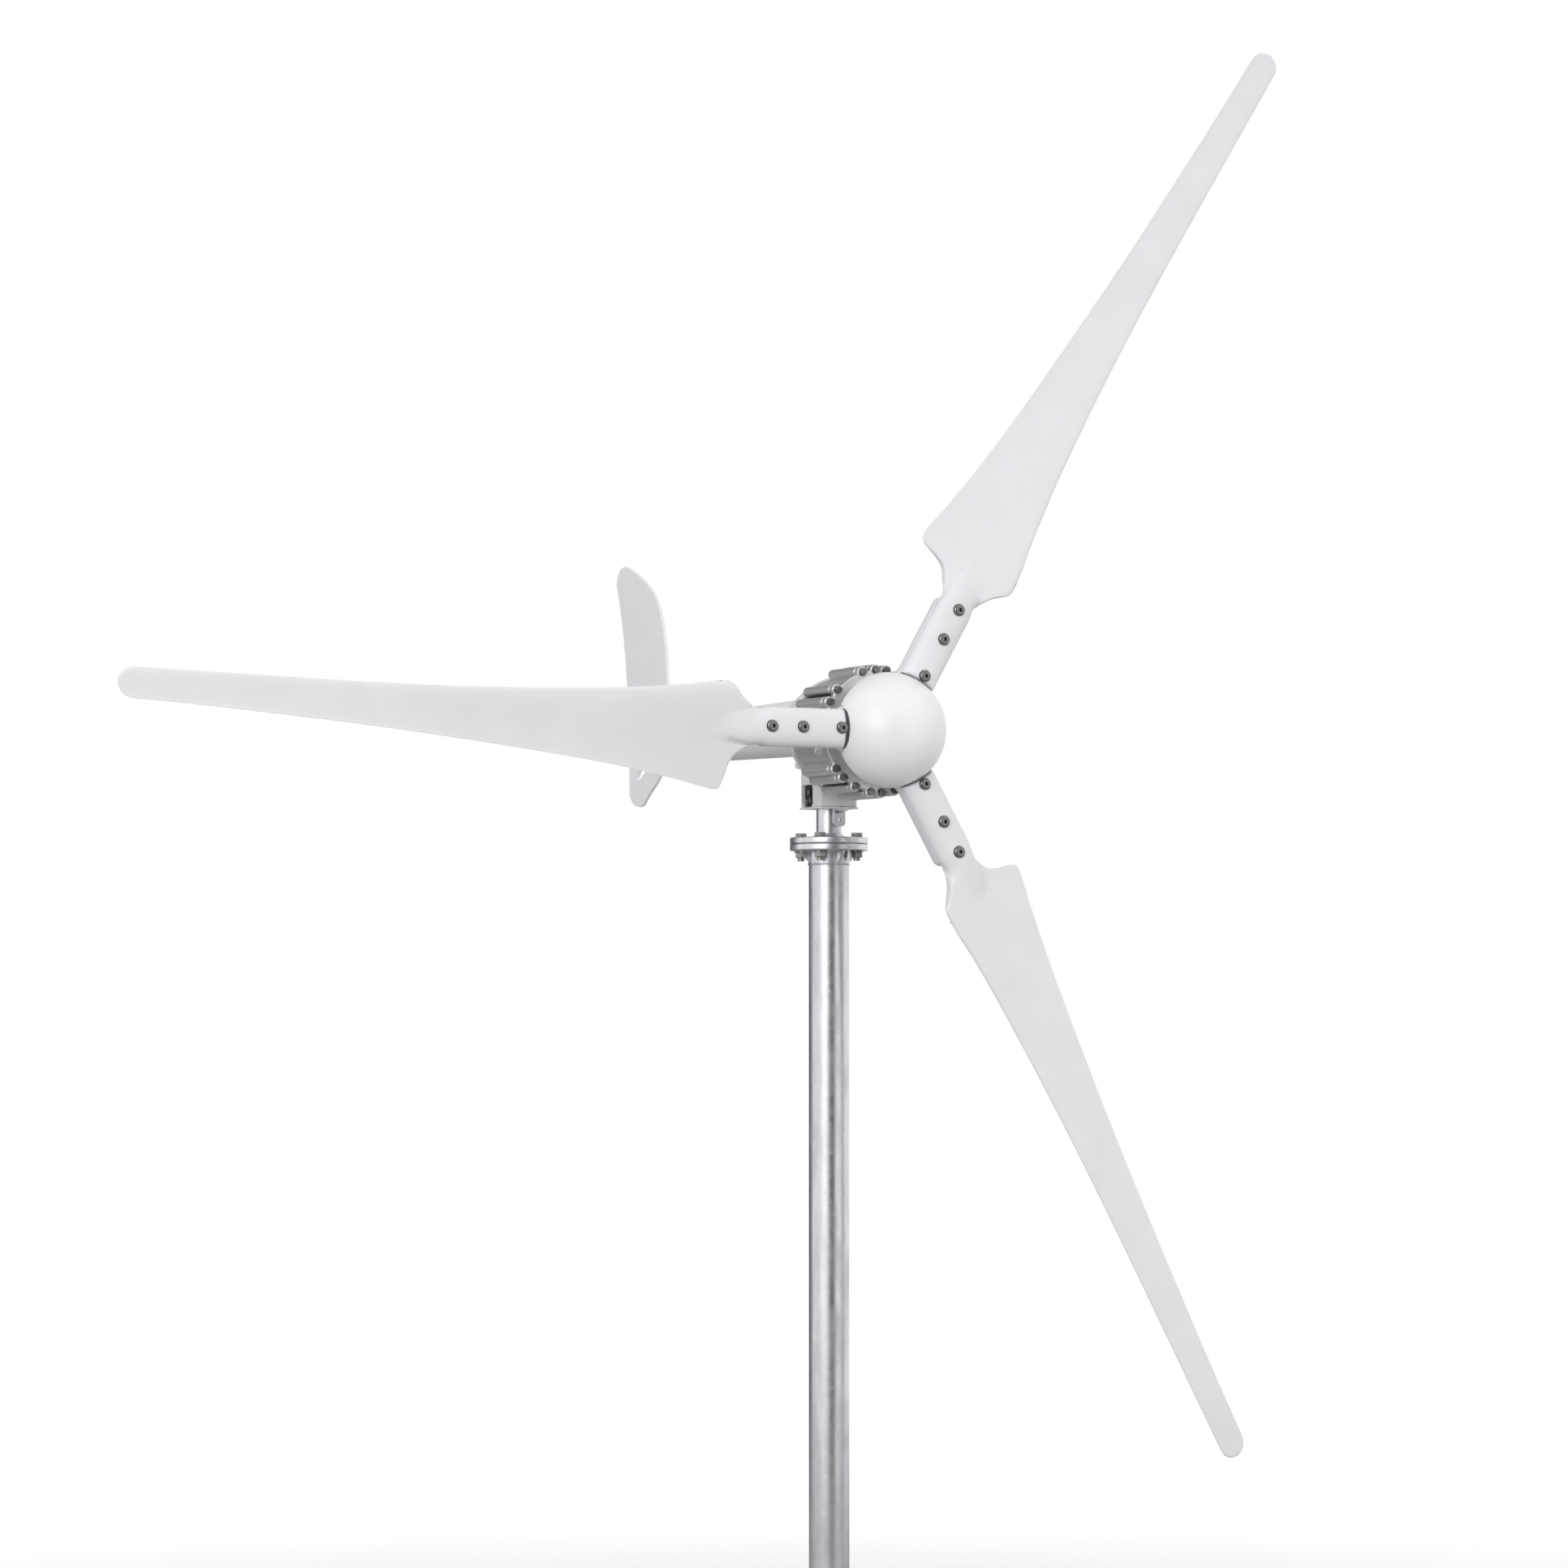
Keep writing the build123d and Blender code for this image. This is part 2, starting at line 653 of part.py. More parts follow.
# Tail fin: swept plate with a rounded tip and a small opening in its lower lobe.
with BuildPart() as tail_fin:
    with BuildSketch(Plane.YZ.offset(-fin_thickness / 2)):
        with BuildLine():
            Spline(at(716, -51), at(717, -11), at(724, 91), at(754, 218))
            Spline(at(754, 218), at(748, 235), at(727, 241))
            Spline(
                at(727, 241),
                at(680, 222),
                at(643, 197),
                at(611, 107),
                at(605, 47),
                at(623, -24),
                at(655, -48),
                at(677, -64),
            )
            ThreePointArc(at(677, -64), at(699, -65), at(716, -51))
        make_face()
        with BuildLine():
            Polyline(at(695, -29), at(690, -34), at(665, -20), at(685, -18), close=True)
        make_face(mode=Mode.SUBTRACT)
        with Locations(*[at(depth, boom_rise) for depth in fin_bolt_depths]):
            Circle(fin_bolt / 2 + slack, mode=Mode.SUBTRACT)
    extrude(amount=fin_thickness)
pieces["tail_fin"] = tail_fin.part

boom_taper = (boom_root_radius - boom_tip_radius) / (boom_end - socket_rear)
bolt_span = boom_tip_radius + boom_taper * (boom_end - fin_bolt_depths[0] + fin_bolt)
with BuildPart() as fin_bolts:
    with BuildSketch(Plane.YZ.offset(-bolt_span)):
        with Locations(*[at(depth, boom_rise) for depth in fin_bolt_depths]):
            RegularPolygon(5.0, 6, major_radius=False)
    extrude(amount=-4)
    with BuildSketch(Plane.YZ.offset(-bolt_span)):
        with Locations(*[at(depth, boom_rise) for depth in fin_bolt_depths]):
            Circle(fin_bolt / 2)
    extrude(amount=2 * bolt_span + 8)
pieces["fin_bolts"] = fin_bolts.part

with BuildPart() as fin_nuts:
    with BuildSketch(Plane.YZ.offset(bolt_span)):
        with Locations(*[at(depth, boom_rise) for depth in fin_bolt_depths]):
            RegularPolygon(5.0, 6, major_radius=False)
            Circle(fin_bolt / 2, mode=Mode.SUBTRACT)
    extrude(amount=5.5)
pieces["fin_nuts"] = fin_nuts.part

# ================= Rotor body =================

# Main shaft: threaded nose, hub seat, body for the magnet rotor and rear journal.
shaft_tip = -2.0
thread_end = root_height + 0.3
shaft_rear = rear_bearing + main_bearing_width + 0.5
key_width = 6.0
key_front = 20.0
key_length = 18.0
key_floor = main_journal / 2 - 3.5
key_top = main_journal / 2 + 2.5
with BuildPart() as main_shaft:
    with BuildSketch(Plane.YZ):
        with BuildLine():
            Polyline(
                at(shaft_tip, 0),
                at(shaft_tip, main_thread / 2 - 1),
                at(shaft_tip + 1, main_thread / 2),
                at(thread_end, main_thread / 2),
                at(thread_end, main_journal / 2),
                at(front_bearing + main_bearing_width, main_journal / 2),
                at(front_bearing + main_bearing_width, main_body / 2),
                at(rear_bearing, main_body / 2),
                at(rear_bearing, main_journal / 2),
                at(shaft_rear, main_journal / 2),
                at(shaft_rear, 0),
                close=True,
            )
        make_face()
    revolve(axis=rotor_axis)
    with BuildSketch(across(key_front + key_length)):
        with Locations((0, (key_floor + key_top) / 2)):
            Rectangle(key_width, key_top - key_floor)
    extrude(amount=key_length, mode=Mode.SUBTRACT)
pieces["main_shaft"] = main_shaft.part

with BuildPart() as shaft_key:
    with BuildSketch(across(key_front + key_length)):
        with Locations((0, (key_floor + key_top) / 2)):
            Rectangle(key_width, key_top - key_floor)
    extrude(amount=key_length)
pieces["shaft_key"] = shaft_key.part

with BuildPart() as seal_sleeve:
    with BuildSketch(across(front_bearing)):
        Circle(main_body / 2)
        Circle(main_journal / 2, mode=Mode.SUBTRACT)
    extrude(amount=seal_width + 0.5)
pieces["seal_sleeve"] = seal_sleeve.part

with BuildPart() as main_bearing_inner:
    for seat in (front_bearing, rear_bearing):
        with BuildSketch(across(seat + main_bearing_width)):
            Circle(shield_radius - gap)
            Circle(main_journal / 2, mode=Mode.SUBTRACT)
        extrude(amount=main_bearing_width)
pieces["main_bearing_inner"] = main_bearing_inner.part

# Magnet rotor: steel core with arc magnets bonded round it.
with BuildPart() as magnet_rotor:
    with BuildSketch(across(core_front + core_length)):
        Circle(core_radius)
        Circle(main_body / 2, mode=Mode.SUBTRACT)
        with PolarLocations(28, 6):
            Circle(7, mode=Mode.SUBTRACT)
    extrude(amount=core_length)
pieces["magnet_rotor"] = magnet_rotor.part

with BuildPart() as magnets:
    with BuildSketch(across(core_front + core_length)):
        Circle(magnet_radius)
        Circle(core_radius, mode=Mode.SUBTRACT)
        with PolarLocations((magnet_radius + core_radius) / 2, magnet_count):
            Rectangle(2 * (magnet_radius - core_radius), 4.5, mode=Mode.SUBTRACT)
    extrude(amount=core_length)
pieces["magnets"] = magnets.part

# Hub: disc and boss with three flat arms that the blade roots bolt to.
with BuildSketch() as hub_outline:
    Circle(hub_disc_radius)
    for angle in blade_angles:
        with Locations(Location(polar(arm_length / 2, angle) + (0,), (0, 0, angle))):
            Rectangle(arm_length, 2 * root_half_width)
    fillet(hub_outline.vertices().sort_by(lambda v: v.X**2 + v.Y**2)[:6], hub_fillet)
    fillet(hub_outline.vertices().sort_by(lambda v: v.X**2 + v.Y**2)[-6:], arm_corner)

with BuildPart() as hub:
    with BuildSketch(across(arm_rear)):
        add(hub_outline.sketch)
    extrude(amount=arm_thickness)
    with BuildSketch(across(cover_front - 0.5)):
        Circle(hub_boss_radius)
    extrude(amount=cover_front - 0.5 - arm_rear)
    with BuildSketch(across(cover_front)):
        Circle(main_journal / 2)
    extrude(amount=cover_front - root_height, mode=Mode.SUBTRACT)
    with BuildSketch(across(key_front + key_length)):
        with Locations((0, (key_floor + key_top) / 2)):
            Rectangle(key_width, key_top - key_floor)
    extrude(amount=key_length, mode=Mode.SUBTRACT)
    with BuildSketch(across(arm_rear)):
        with Locations(*arm_points):
            Circle(blade_bolt / 2 + slack)
        with Locations(*post_points):
            Circle(spinner_screw / 2 + slack)
    extrude(amount=arm_thickness, mode=Mode.SUBTRACT)
pieces["hub"] = hub.part

with BuildPart() as hub_washer:
    with BuildSketch(across(root_height)):
        Circle(15)
        Circle(main_thread / 2 + slack, mode=Mode.SUBTRACT)
    extrude(amount=2.5)
pieces["hub_washer"] = hub_washer.part

with BuildPart() as hub_nut:
    with BuildSketch(across(root_height - 2.5)):
        RegularPolygon(12, 6, major_radius=False)
        Circle(main_thread / 2, mode=Mode.SUBTRACT)
    extrude(amount=13)
pieces["hub_nut"] = hub_nut.part


def section_points(lead, trail):
    """Points round one blade section, from the trailing edge's front to its rear."""
    chord = sqrt((trail[0] - lead[0]) ** 2 + (trail[1] - lead[1]) ** 2)
    along = ((trail[0] - lead[0]) / chord, (trail[1] - lead[1]) / chord)
    front, rear = [], []
    for share in (1.0, 0.8, 0.55, 0.32, 0.14, 0.035):
        half = 5 * section_thickness * (
            0.2969 * sqrt(share) - 0.126 * share - 0.3516 * share**2 + 0.2843 * share**3 - 0.0986 * share**4
        )
        bow = 4 * section_camber * share * (1 - share)
        for side, out in ((-1, front), (1, rear)):
            lift = (bow + side * half) * chord
            out.append(
                (
                    lead[1] + share * chord * along[1] + lift * along[0],
                    lead[0] + share * chord * along[0] - lift * along[1],
                )
            )
    return front + [(lead[1], lead[0])] + rear[::-1]


def root_section(half_width, crown, base):
    """Half-ellipse of the blade's root, crown to the front, flat to the rear."""
    with BuildSketch() as section:
        with BuildLine():
            EllipticalCenterArc((base, 0), base - crown, half_width, start_angle=90, arc_size=180)
            Line((base, half_width), (base, -half_width))
        make_face()
    return section.sketch


# Blade, drawn along +X about the origin and then turned to its place.
with BuildPart() as blade_form:
    for share, lead, trail in blade_stations:
        with BuildSketch(Plane(origin=(share * rotor_radius, 0, 0), x_dir=(0, 1, 0), z_dir=(1, 0, 0))):
            with BuildLine():
                outline = section_points(lead, trail)
                Spline(*outline)
                Line(outline[-1], outline[0])
            make_face()
    loft()
    with BuildSketch(Plane(origin=(0, 60, 0), x_dir=(1, 0, 0), z_dir=(0, -1, 0))):
        tip = rotor_radius - tip_round
        with BuildLine():
            Spline((174, -19), (188, -25), (202, -34), (213, -47), tangents=((1, -0.35), (0.7, -1)))
            ThreePointArc((213, -47), (217.5, -50.4), (226, -52.5))
            Line((226, -52.5), (230, -75))
            Line((230, -75), (tip, tip_offset - 3 * tip_round))
            Line((tip, tip_offset - 3 * tip_round), (tip, tip_offset - tip_round))
            ThreePointArc(
                (tip, tip_offset - tip_round), (rotor_radius, tip_offset), (tip, tip_offset + tip_round)
            )
            Line((tip, tip_offset + tip_round), (tip, 120))
            Line((tip, 120), (234, 120))
            Line((234, 120), (232, 78))
            ThreePointArc((232, 78), (222.5, 74.5), (217.5, 66))
            Spline((217.5, 66), (213, 47), (203, 32), (184, 23), (174, 20.5), tangents=((-0.1, -1), (-1, -0.2)))
            Line((174, 20.5), (174, -19))
        make_face()
    extrude(amount=120, mode=Mode.INTERSECT)
    with BuildSketch(Plane(origin=(root_start, 0, 0), x_dir=(0, 1, 0), z_dir=(1, 0, 0))):
        add(root_section(root_half_width, 0, root_height))
    extrude(amount=root_end - root_start)
    stations = ((root_end, root_half_width, 0.0), (190, 21.0, 2.2), (212, 18.0, 6.0), (236, 11.0, 10.6))
    for reach, half_width, crown in stations:
        with BuildSketch(Plane(origin=(reach, 0, 0), x_dir=(0, 1, 0), z_dir=(1, 0, 0))):
            add(root_section(half_width, crown, root_height - (reach - root_end) * 0.06))
    loft()
    inner_end = blade_form.faces().sort_by(Axis.X)[0]
    fillet(inner_end.edges().filter_by(GeomType.ELLIPSE), 4.0)
    with BuildSketch(Plane(origin=(0, root_height, 0), x_dir=(1, 0, 0), z_dir=(0, -1, 0))):
        with Locations(*[(radius, 0) for radius in blade_bolt_radii]):
            Circle(blade_bolt / 2 + slack)
    extrude(amount=root_height, mode=Mode.SUBTRACT)
    with BuildSketch(Plane(origin=(0, spot_depth, 0), x_dir=(1, 0, 0), z_dir=(0, -1, 0))):
        with Locations(*[(radius, 0) for radius in blade_bolt_radii]):
            Circle(head_diameter / 2 + 0.5)
    extrude(amount=2 * spot_depth, mode=Mode.SUBTRACT)

for number, angle in enumerate(blade_angles, 1):
    with BuildPart() as blade:
        with Locations((0, -overhang, hub_height)):
            add(blade_form.part, rotation=(0, -angle, 0))
    pieces[f"blade_{number}"] = blade.part

# Blade fasteners: button heads in spot faces, washers and nuts behind the arms.
with BuildPart() as blade_bolts:
    with BuildSketch(across(spot_depth)):
        with Locations(*arm_points):
            Circle(head_diameter / 2)
    extrude(amount=head_height)
    rim = blade_bolts.edges().group_by(Axis.Y)[0]
    fillet(rim, 2.6)
    with BuildSketch(across(spot_depth)):
        with Locations(*arm_points):
            Circle(blade_bolt / 2)
    extrude(amount=-(arm_rear + washer_thickness + nut_height + 1.3 - spot_depth))
    with BuildSketch(across(spot_depth - head_height)):
        with Locations(*arm_points):
            RegularPolygon(head_socket / 2, 6, major_radius=False)
    extrude(amount=-2.6, mode=Mode.SUBTRACT)
pieces["blade_bolts"] = blade_bolts.part

with BuildPart() as blade_washers:
    with BuildSketch(across(arm_rear)):
        with Locations(*arm_points):
            Circle(8.0)
            Circle(blade_bolt / 2 + slack, mode=Mode.SUBTRACT)
    extrude(amount=-washer_thickness)
pieces["blade_washers"] = blade_washers.part

with BuildPart() as blade_nuts:
    with BuildSketch(across(arm_rear + washer_thickness)):
        with Locations(*arm_points):
            RegularPolygon(bolt_across / 2, 6, major_radius=False)
            Circle(blade_bolt / 2, mode=Mode.SUBTRACT)
    extrude(amount=-nut_height)
pieces["blade_nuts"] = blade_nuts.part

# Spinner: thin moulded nose on three posts, notched round the blade roots.
skirt_front = root_height - 0.4
inner_radius = spinner_radius - spinner_wall


def nose_point(radius, turn):
    """Point of a nose of this radius, a number of degrees back from its tip."""
    return at(spinner_centre - radius * cos(radians(turn)), radius * sin(radians(turn)))


with BuildPart() as spinner:
    outer_rim = 90 + degrees(asin((skirt_rear - spinner_centre) / spinner_radius))
    inner_rim = 90 + degrees(asin((skirt_rear - spinner_centre) / inner_radius))
    with BuildSketch(Plane.YZ):
        with BuildLine():
            ThreePointArc(
                nose_point(spinner_radius, 0), nose_point(spinner_radius, 45), nose_point(spinner_radius, outer_rim)
            )
            Line(nose_point(spinner_radius, outer_rim), nose_point(inner_radius, inner_rim))
            ThreePointArc(
                nose_point(inner_radius, inner_rim), nose_point(inner_radius, 45), nose_point(inner_radius, 0)
            )
            Line(nose_point(inner_radius, 0), nose_point(spinner_radius, 0))
        make_face()
    revolve(axis=rotor_axis)
    with BuildSketch(across(skirt_rear + 1)):
        add(hub_outline.sketch)
        offset(amount=notch_gap)
    extrude(amount=skirt_rear + 1 - skirt_front, mode=Mode.SUBTRACT)
    with BuildSketch(across(root_height)):
        with Locations(*post_points):
            Circle(spinner_post)
    post_end = spinner_centre - sqrt(inner_radius**2 - spinner_post_circle**2)
    extrude(amount=root_height - post_end + 3.0)
    with BuildSketch(across(root_height)):
        with Locations(*post_points):
            Circle(spinner_screw / 2 + slack)
    extrude(amount=11, mode=Mode.SUBTRACT)
    for angle in blade_angles:
        face = Plane(
            origin=(
                polar(root_start - 8, angle)[0],
                -overhang,
                hub_height + polar(root_start - 8, angle)[1],
            ),
            x_dir=(0, 1, 0),
            z_dir=(cos(radians(angle)), 0, sin(radians(angle))),
        )
        with BuildSketch(face):
            add(root_section(root_half_width + notch_gap, -notch_gap, root_height + 0.1))
        extrude(amount=20, mode=Mode.SUBTRACT)
pieces["spinner"] = spinner.part

with BuildPart() as spinner_screws:
    with BuildSketch(across(arm_rear)):
        with Locations(*post_points):
            Circle(3.8)
    extrude(amount=-2.6)
    with BuildSketch(across(arm_rear)):
        with Locations(*post_points):
            Circle(spinner_screw / 2)
    extrude(amount=arm_thickness + 9)
pieces["spinner_screws"] = spinner_screws.part

for name, piece in pieces.items():
    piece.label = name
    export_step(piece, f"parts/{name}.step")
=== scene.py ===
import json
import math
import random

import bmesh
import bpy
from mathutils import Matrix, Vector


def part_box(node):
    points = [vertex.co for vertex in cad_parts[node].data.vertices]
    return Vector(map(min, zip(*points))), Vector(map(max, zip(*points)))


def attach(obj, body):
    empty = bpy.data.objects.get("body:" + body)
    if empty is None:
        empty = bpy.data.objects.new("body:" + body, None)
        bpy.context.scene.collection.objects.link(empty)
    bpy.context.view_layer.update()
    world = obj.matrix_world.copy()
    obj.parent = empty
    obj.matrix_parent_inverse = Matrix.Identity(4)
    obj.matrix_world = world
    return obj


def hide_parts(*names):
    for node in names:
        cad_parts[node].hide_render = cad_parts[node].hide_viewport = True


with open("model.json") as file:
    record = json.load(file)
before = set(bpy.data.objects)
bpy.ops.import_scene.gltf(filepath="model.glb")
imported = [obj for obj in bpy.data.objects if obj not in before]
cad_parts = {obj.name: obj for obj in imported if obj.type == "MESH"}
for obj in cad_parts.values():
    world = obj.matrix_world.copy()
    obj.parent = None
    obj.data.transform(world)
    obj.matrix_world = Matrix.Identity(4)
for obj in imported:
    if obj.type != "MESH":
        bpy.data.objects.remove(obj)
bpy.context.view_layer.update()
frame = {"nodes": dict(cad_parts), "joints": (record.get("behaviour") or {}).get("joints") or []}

# --------------------------------------------------------------------------------------------------
# The studio: a white room lit by soft boxes and the glow of its walls, with a pale floor that runs out
# into white. Tall cards stand round it for the metal to reflect. The camera stands low and well back,
# off to the left of the rotor's axis.

scene = bpy.context.scene
scene.view_settings.view_transform = "Standard"

camera_data = bpy.data.cameras.new("studio_camera")
camera_data.lens = 153.02
camera_data.sensor_width = 36.0
camera_data.clip_end = 200.0
camera = bpy.data.objects.new("studio_camera", camera_data)
camera.location = (-3.7073, -7.0715, 0.6482)
camera.rotation_euler = (math.radians(92.54), 0.0, math.radians(-27.28))
scene.collection.objects.link(camera)
scene.camera = camera


class Wire:
    """One socket of a shader. A sum written on it in Python adds its Math node."""

    def __init__(self, shader, socket):
        self.shader, self.socket = shader, socket

    def maths(self, operation, *values):
        return self.shader.node("Math", {"operation": operation}, dict(enumerate(values)))

    def __add__(self, other):
        return self.maths("ADD", self, other)

    def __sub__(self, other):
        return self.maths("SUBTRACT", self, other)

    def __rsub__(self, other):
        return self.maths("SUBTRACT", other, self)

    def __mul__(self, other):
        return self.maths("MULTIPLY", self, other)

    def __truediv__(self, other):
        return self.maths("DIVIDE", self, other)

    __radd__, __rmul__ = __add__, __mul__


class Shader:
    """A node tree under construction. node() adds any node: its settings first, then its sockets."""

    def __init__(self, tree):
        self.tree = tree

    def node(self, kind, settings=None, sockets=None, out=0):
        made = self.tree.nodes.new("ShaderNode" + kind)
        for name, value in (settings or {}).items():
            if name == "stops":
                ramp = made.color_ramp
                while len(ramp.elements) < len(value):
                    ramp.elements.new(0.5)
                for stop, (place, colour) in zip(ramp.elements, value):
                    stop.position, stop.color = place, (*colour, 1.0)
            else:
                setattr(made, name, value)
        for name, value in (sockets or {}).items():
            self.feed(made.inputs[name], value)
        return Wire(self, made.outputs[out]) if made.outputs else None

    def feed(self, socket, value):
        if isinstance(value, Wire):
            self.tree.links.new(value.socket, socket)
        elif hasattr(socket.default_value, "__len__") and len(value) < len(socket.default_value):
            socket.default_value = (*value, 1.0)
        else:
            socket.default_value = value

    def mix(self, factor, plain, marked):
        """One colour laid over another where factor is 1."""
        return self.node("Mix", {"data_type": "RGBA"}, {0: factor, 6: plain, 7: marked}, out=2)

    def ramp(self, value, low, high):
        """0 where the value is at low, 1 at high, and straight between."""
        return self.node(
            "MapRange", {"clamp": True}, {"Value": value, "From Min": low, "From Max": high}
        )


room = bpy.data.worlds.new("white_room")
room.use_nodes = True
room.node_tree.nodes.clear()
walls = Shader(room.node_tree)
heading = walls.node("TexCoord", out="Generated")
upward = walls.node("SeparateXYZ", {}, {0: heading}, out="Z")
glow = walls.node(
    "ValToRGB",
    {
        "stops": [
            (0.0, (0.40, 0.40, 0.41)), (0.36, (0.50, 0.50, 0.51)), (0.455, (0.90, 0.90, 0.91)),
            (0.75, (0.84, 0.84, 0.84)), (1.0, (0.80, 0.80, 0.80)),
        ]
    },
    {0: upward * 0.5 + 0.5},
)


def flag(toward, inner, outer, tone):
    """A tall card in one direction, dark below 1 and bright above it, for the metal to reflect."""
    flat = walls.node("VectorMath", {"operation": "MULTIPLY"}, {0: heading, 1: (1.0, 1.0, 0.35)})
    level = walls.node("VectorMath", {"operation": "NORMALIZE"}, {0: flat})
    match = walls.node("VectorMath", {"operation": "DOT_PRODUCT"}, {0: level, 1: toward}, out="Value")
    card = walls.ramp(match, math.cos(math.radians(outer)), math.cos(math.radians(inner)))
    return walls.mix(card, (1.0, 1.0, 1.0), (tone, tone, tone * 1.02))


lit = glow
for card in (
    flag((-0.88, -0.474, 0.0), 5.0, 22.0, 1.25),
    flag((-0.19, -0.982, 0.0), 8.0, 25.0, 0.06),
    flag((0.832, -0.555, 0.0), 3.0, 14.0, 0.55),
    flag((-0.127, 0.992, 0.0), 20.0, 42.0, 0.12),
):
    multiply = {"data_type": "RGBA", "blend_type": "MULTIPLY"}
    lit = walls.node("Mix", multiply, {0: 1.0, 6: lit, 7: card}, out=2)
seen = walls.node("LightPath", out="Is Camera Ray")
dim = walls.node("Background", {}, {"Color": lit, "Strength": 1.02})
white = walls.node("Background", {}, {"Color": (1.0, 1.0, 1.0), "Strength": 1.0})
both = walls.node("MixShader", {}, {0: seen, 1: dim, 2: white})
walls.node("OutputWorld", {}, {0: both})
scene.world = room

floor_mesh = bpy.data.meshes.new("floor")
reach = 2.6
floor_mesh.from_pydata(
    [(-reach, -reach, 0), (reach, -reach, 0), (reach, reach, 0), (-reach, reach, 0)], [], [(0, 1, 2, 3)]
)
floor = bpy.data.objects.new("floor", floor_mesh)
scene.collection.objects.link(floor)
floor_material = bpy.data.materials.new("pale_floor")
floor_material.use_nodes = True
floor_material.node_tree.nodes.clear()
ground = Shader(floor_material.node_tree)
spot = ground.node("TexCoord", out="Object")
far = ground.ramp(ground.node("VectorMath", {"operation": "LENGTH"}, {0: spot}, out="Value"), 0.5, 1.6)
seen = ground.node("LightPath", out="Is Camera Ray")
matt = ground.node("BsdfDiffuse", {}, {"Color": (0.36, 0.36, 0.36)})
pale = ground.node("BsdfDiffuse", {}, {"Color": (0.93, 0.93, 0.93)})
bright = ground.node("Emission", {}, {"Color": (1.0, 1.0, 1.0), "Strength": 1.0})
shown = ground.node("MixShader", {}, {0: far, 1: pale, 2: bright})
both = ground.node("MixShader", {}, {0: seen, 1: matt, 2: shown})
ground.node("OutputMaterial", {}, {0: both})
floor_mesh.materials.append(floor_material)


def soft_box(name, place, target, size, power, mirrored):
    """A large square lamp that faces the target."""
    lamp_data = bpy.data.lights.new(name, "AREA")
    lamp_data.shape, lamp_data.size, lamp_data.energy = "SQUARE", size, power
    lamp = bpy.data.objects.new(name, lamp_data)
    lamp.location = place
    lamp.rotation_euler = (Vector(target) - Vector(place)).to_track_quat("-Z", "Y").to_euler()
    lamp.visible_camera, lamp.visible_glossy = False, mirrored
    scene.collection.objects.link(lamp)


soft_box("key_lamp", (-4.0, -3.2, 2.6), (0.0, -0.1, 1.0), 2.6, 86.0, True)
soft_box("front_lamp", (1.8, -5.2, 0.8), (0.0, -0.1, 1.0), 2.4, 76.0, False)
soft_box("fill_lamp", (3.4, 2.2, 3.4), (0.0, 0.1, 1.0), 2.2, 30.0, False)


# --------------------------------------------------------------------------------------------------
# The mast: hot-dip galvanised water pipe, welded to the neck of its flange, with four small gussets
# between neck and flange. The zinc has a faint spangle, long runs from the dipping and duller patches
# where it was handled.


class Finish(Shader):
    """A material on the Principled surface. Plain values go straight on that surface's own sockets."""

    def __init__(self, name, plain):
        self.material = bpy.data.materials.new(name)
        self.material.use_nodes = True
        super().__init__(self.material.node_tree)
        self.surface = self.tree.nodes["Principled BSDF"]
        for socket, value in plain.items():
            self.feed(self.surface.inputs[socket], value)
        self.place = self.node("TexCoord", out="Object")

    def wear(self, **varied):
        """What varies over the surface: colour, roughness, metallic or normal."""
        for socket, value in varied.items():
            self.feed(self.surface.inputs[socket.replace("_", " ").title()], value)
        return self.material

    def grain(self, size, detail=3.0, rough=0.55, stretch=(1.0, 1.0, 1.0), offset=0.0):
        """Soft noise whose patches are about size metres across, 0 to 1."""
        moved = self.node(
            "Mapping", {}, {"Vector": self.place, "Location": (offset, offset, offset), "Scale": stretch}
        )
        sockets = {"Vector": moved, "Scale": 1.0 / size, "Detail": detail, "Roughness": rough}
        return self.node("TexNoise", {}, sockets)

    def bump(self, height, depth, under=None):
        """A relief of depth metres where height goes from 0 to 1."""
        sockets = {"Height": height, "Distance": depth, "Strength": 1.0}
        if under is not None:
            sockets["Normal"] = under
        return self.node("Bump", {}, sockets)

    def shade_in_hollows(self, distance):
        """1 deep in sockets, gaps and corners, and 0 out in the open, as a mask for painted shade."""
        open_sky = self.node("AmbientOcclusion", {"samples": 8}, {"Distance": distance}, out="AO")
        return 1.0 - self.ramp(open_sky, 0.25, 0.85)

    def edges(self, radius):
        """1 on outside and inside corners, fading out over the radius, and 0 on the flats."""
        rounded = self.node("Bevel", {"samples": 4}, {"Radius": radius})
        flat = self.node("NewGeometry", out="Normal")
        match = self.node("VectorMath", {"operation": "DOT_PRODUCT"}, {0: rounded, 1: flat}, out="Value")
        return self.ramp(1.0 - match, 0.01, 0.16)


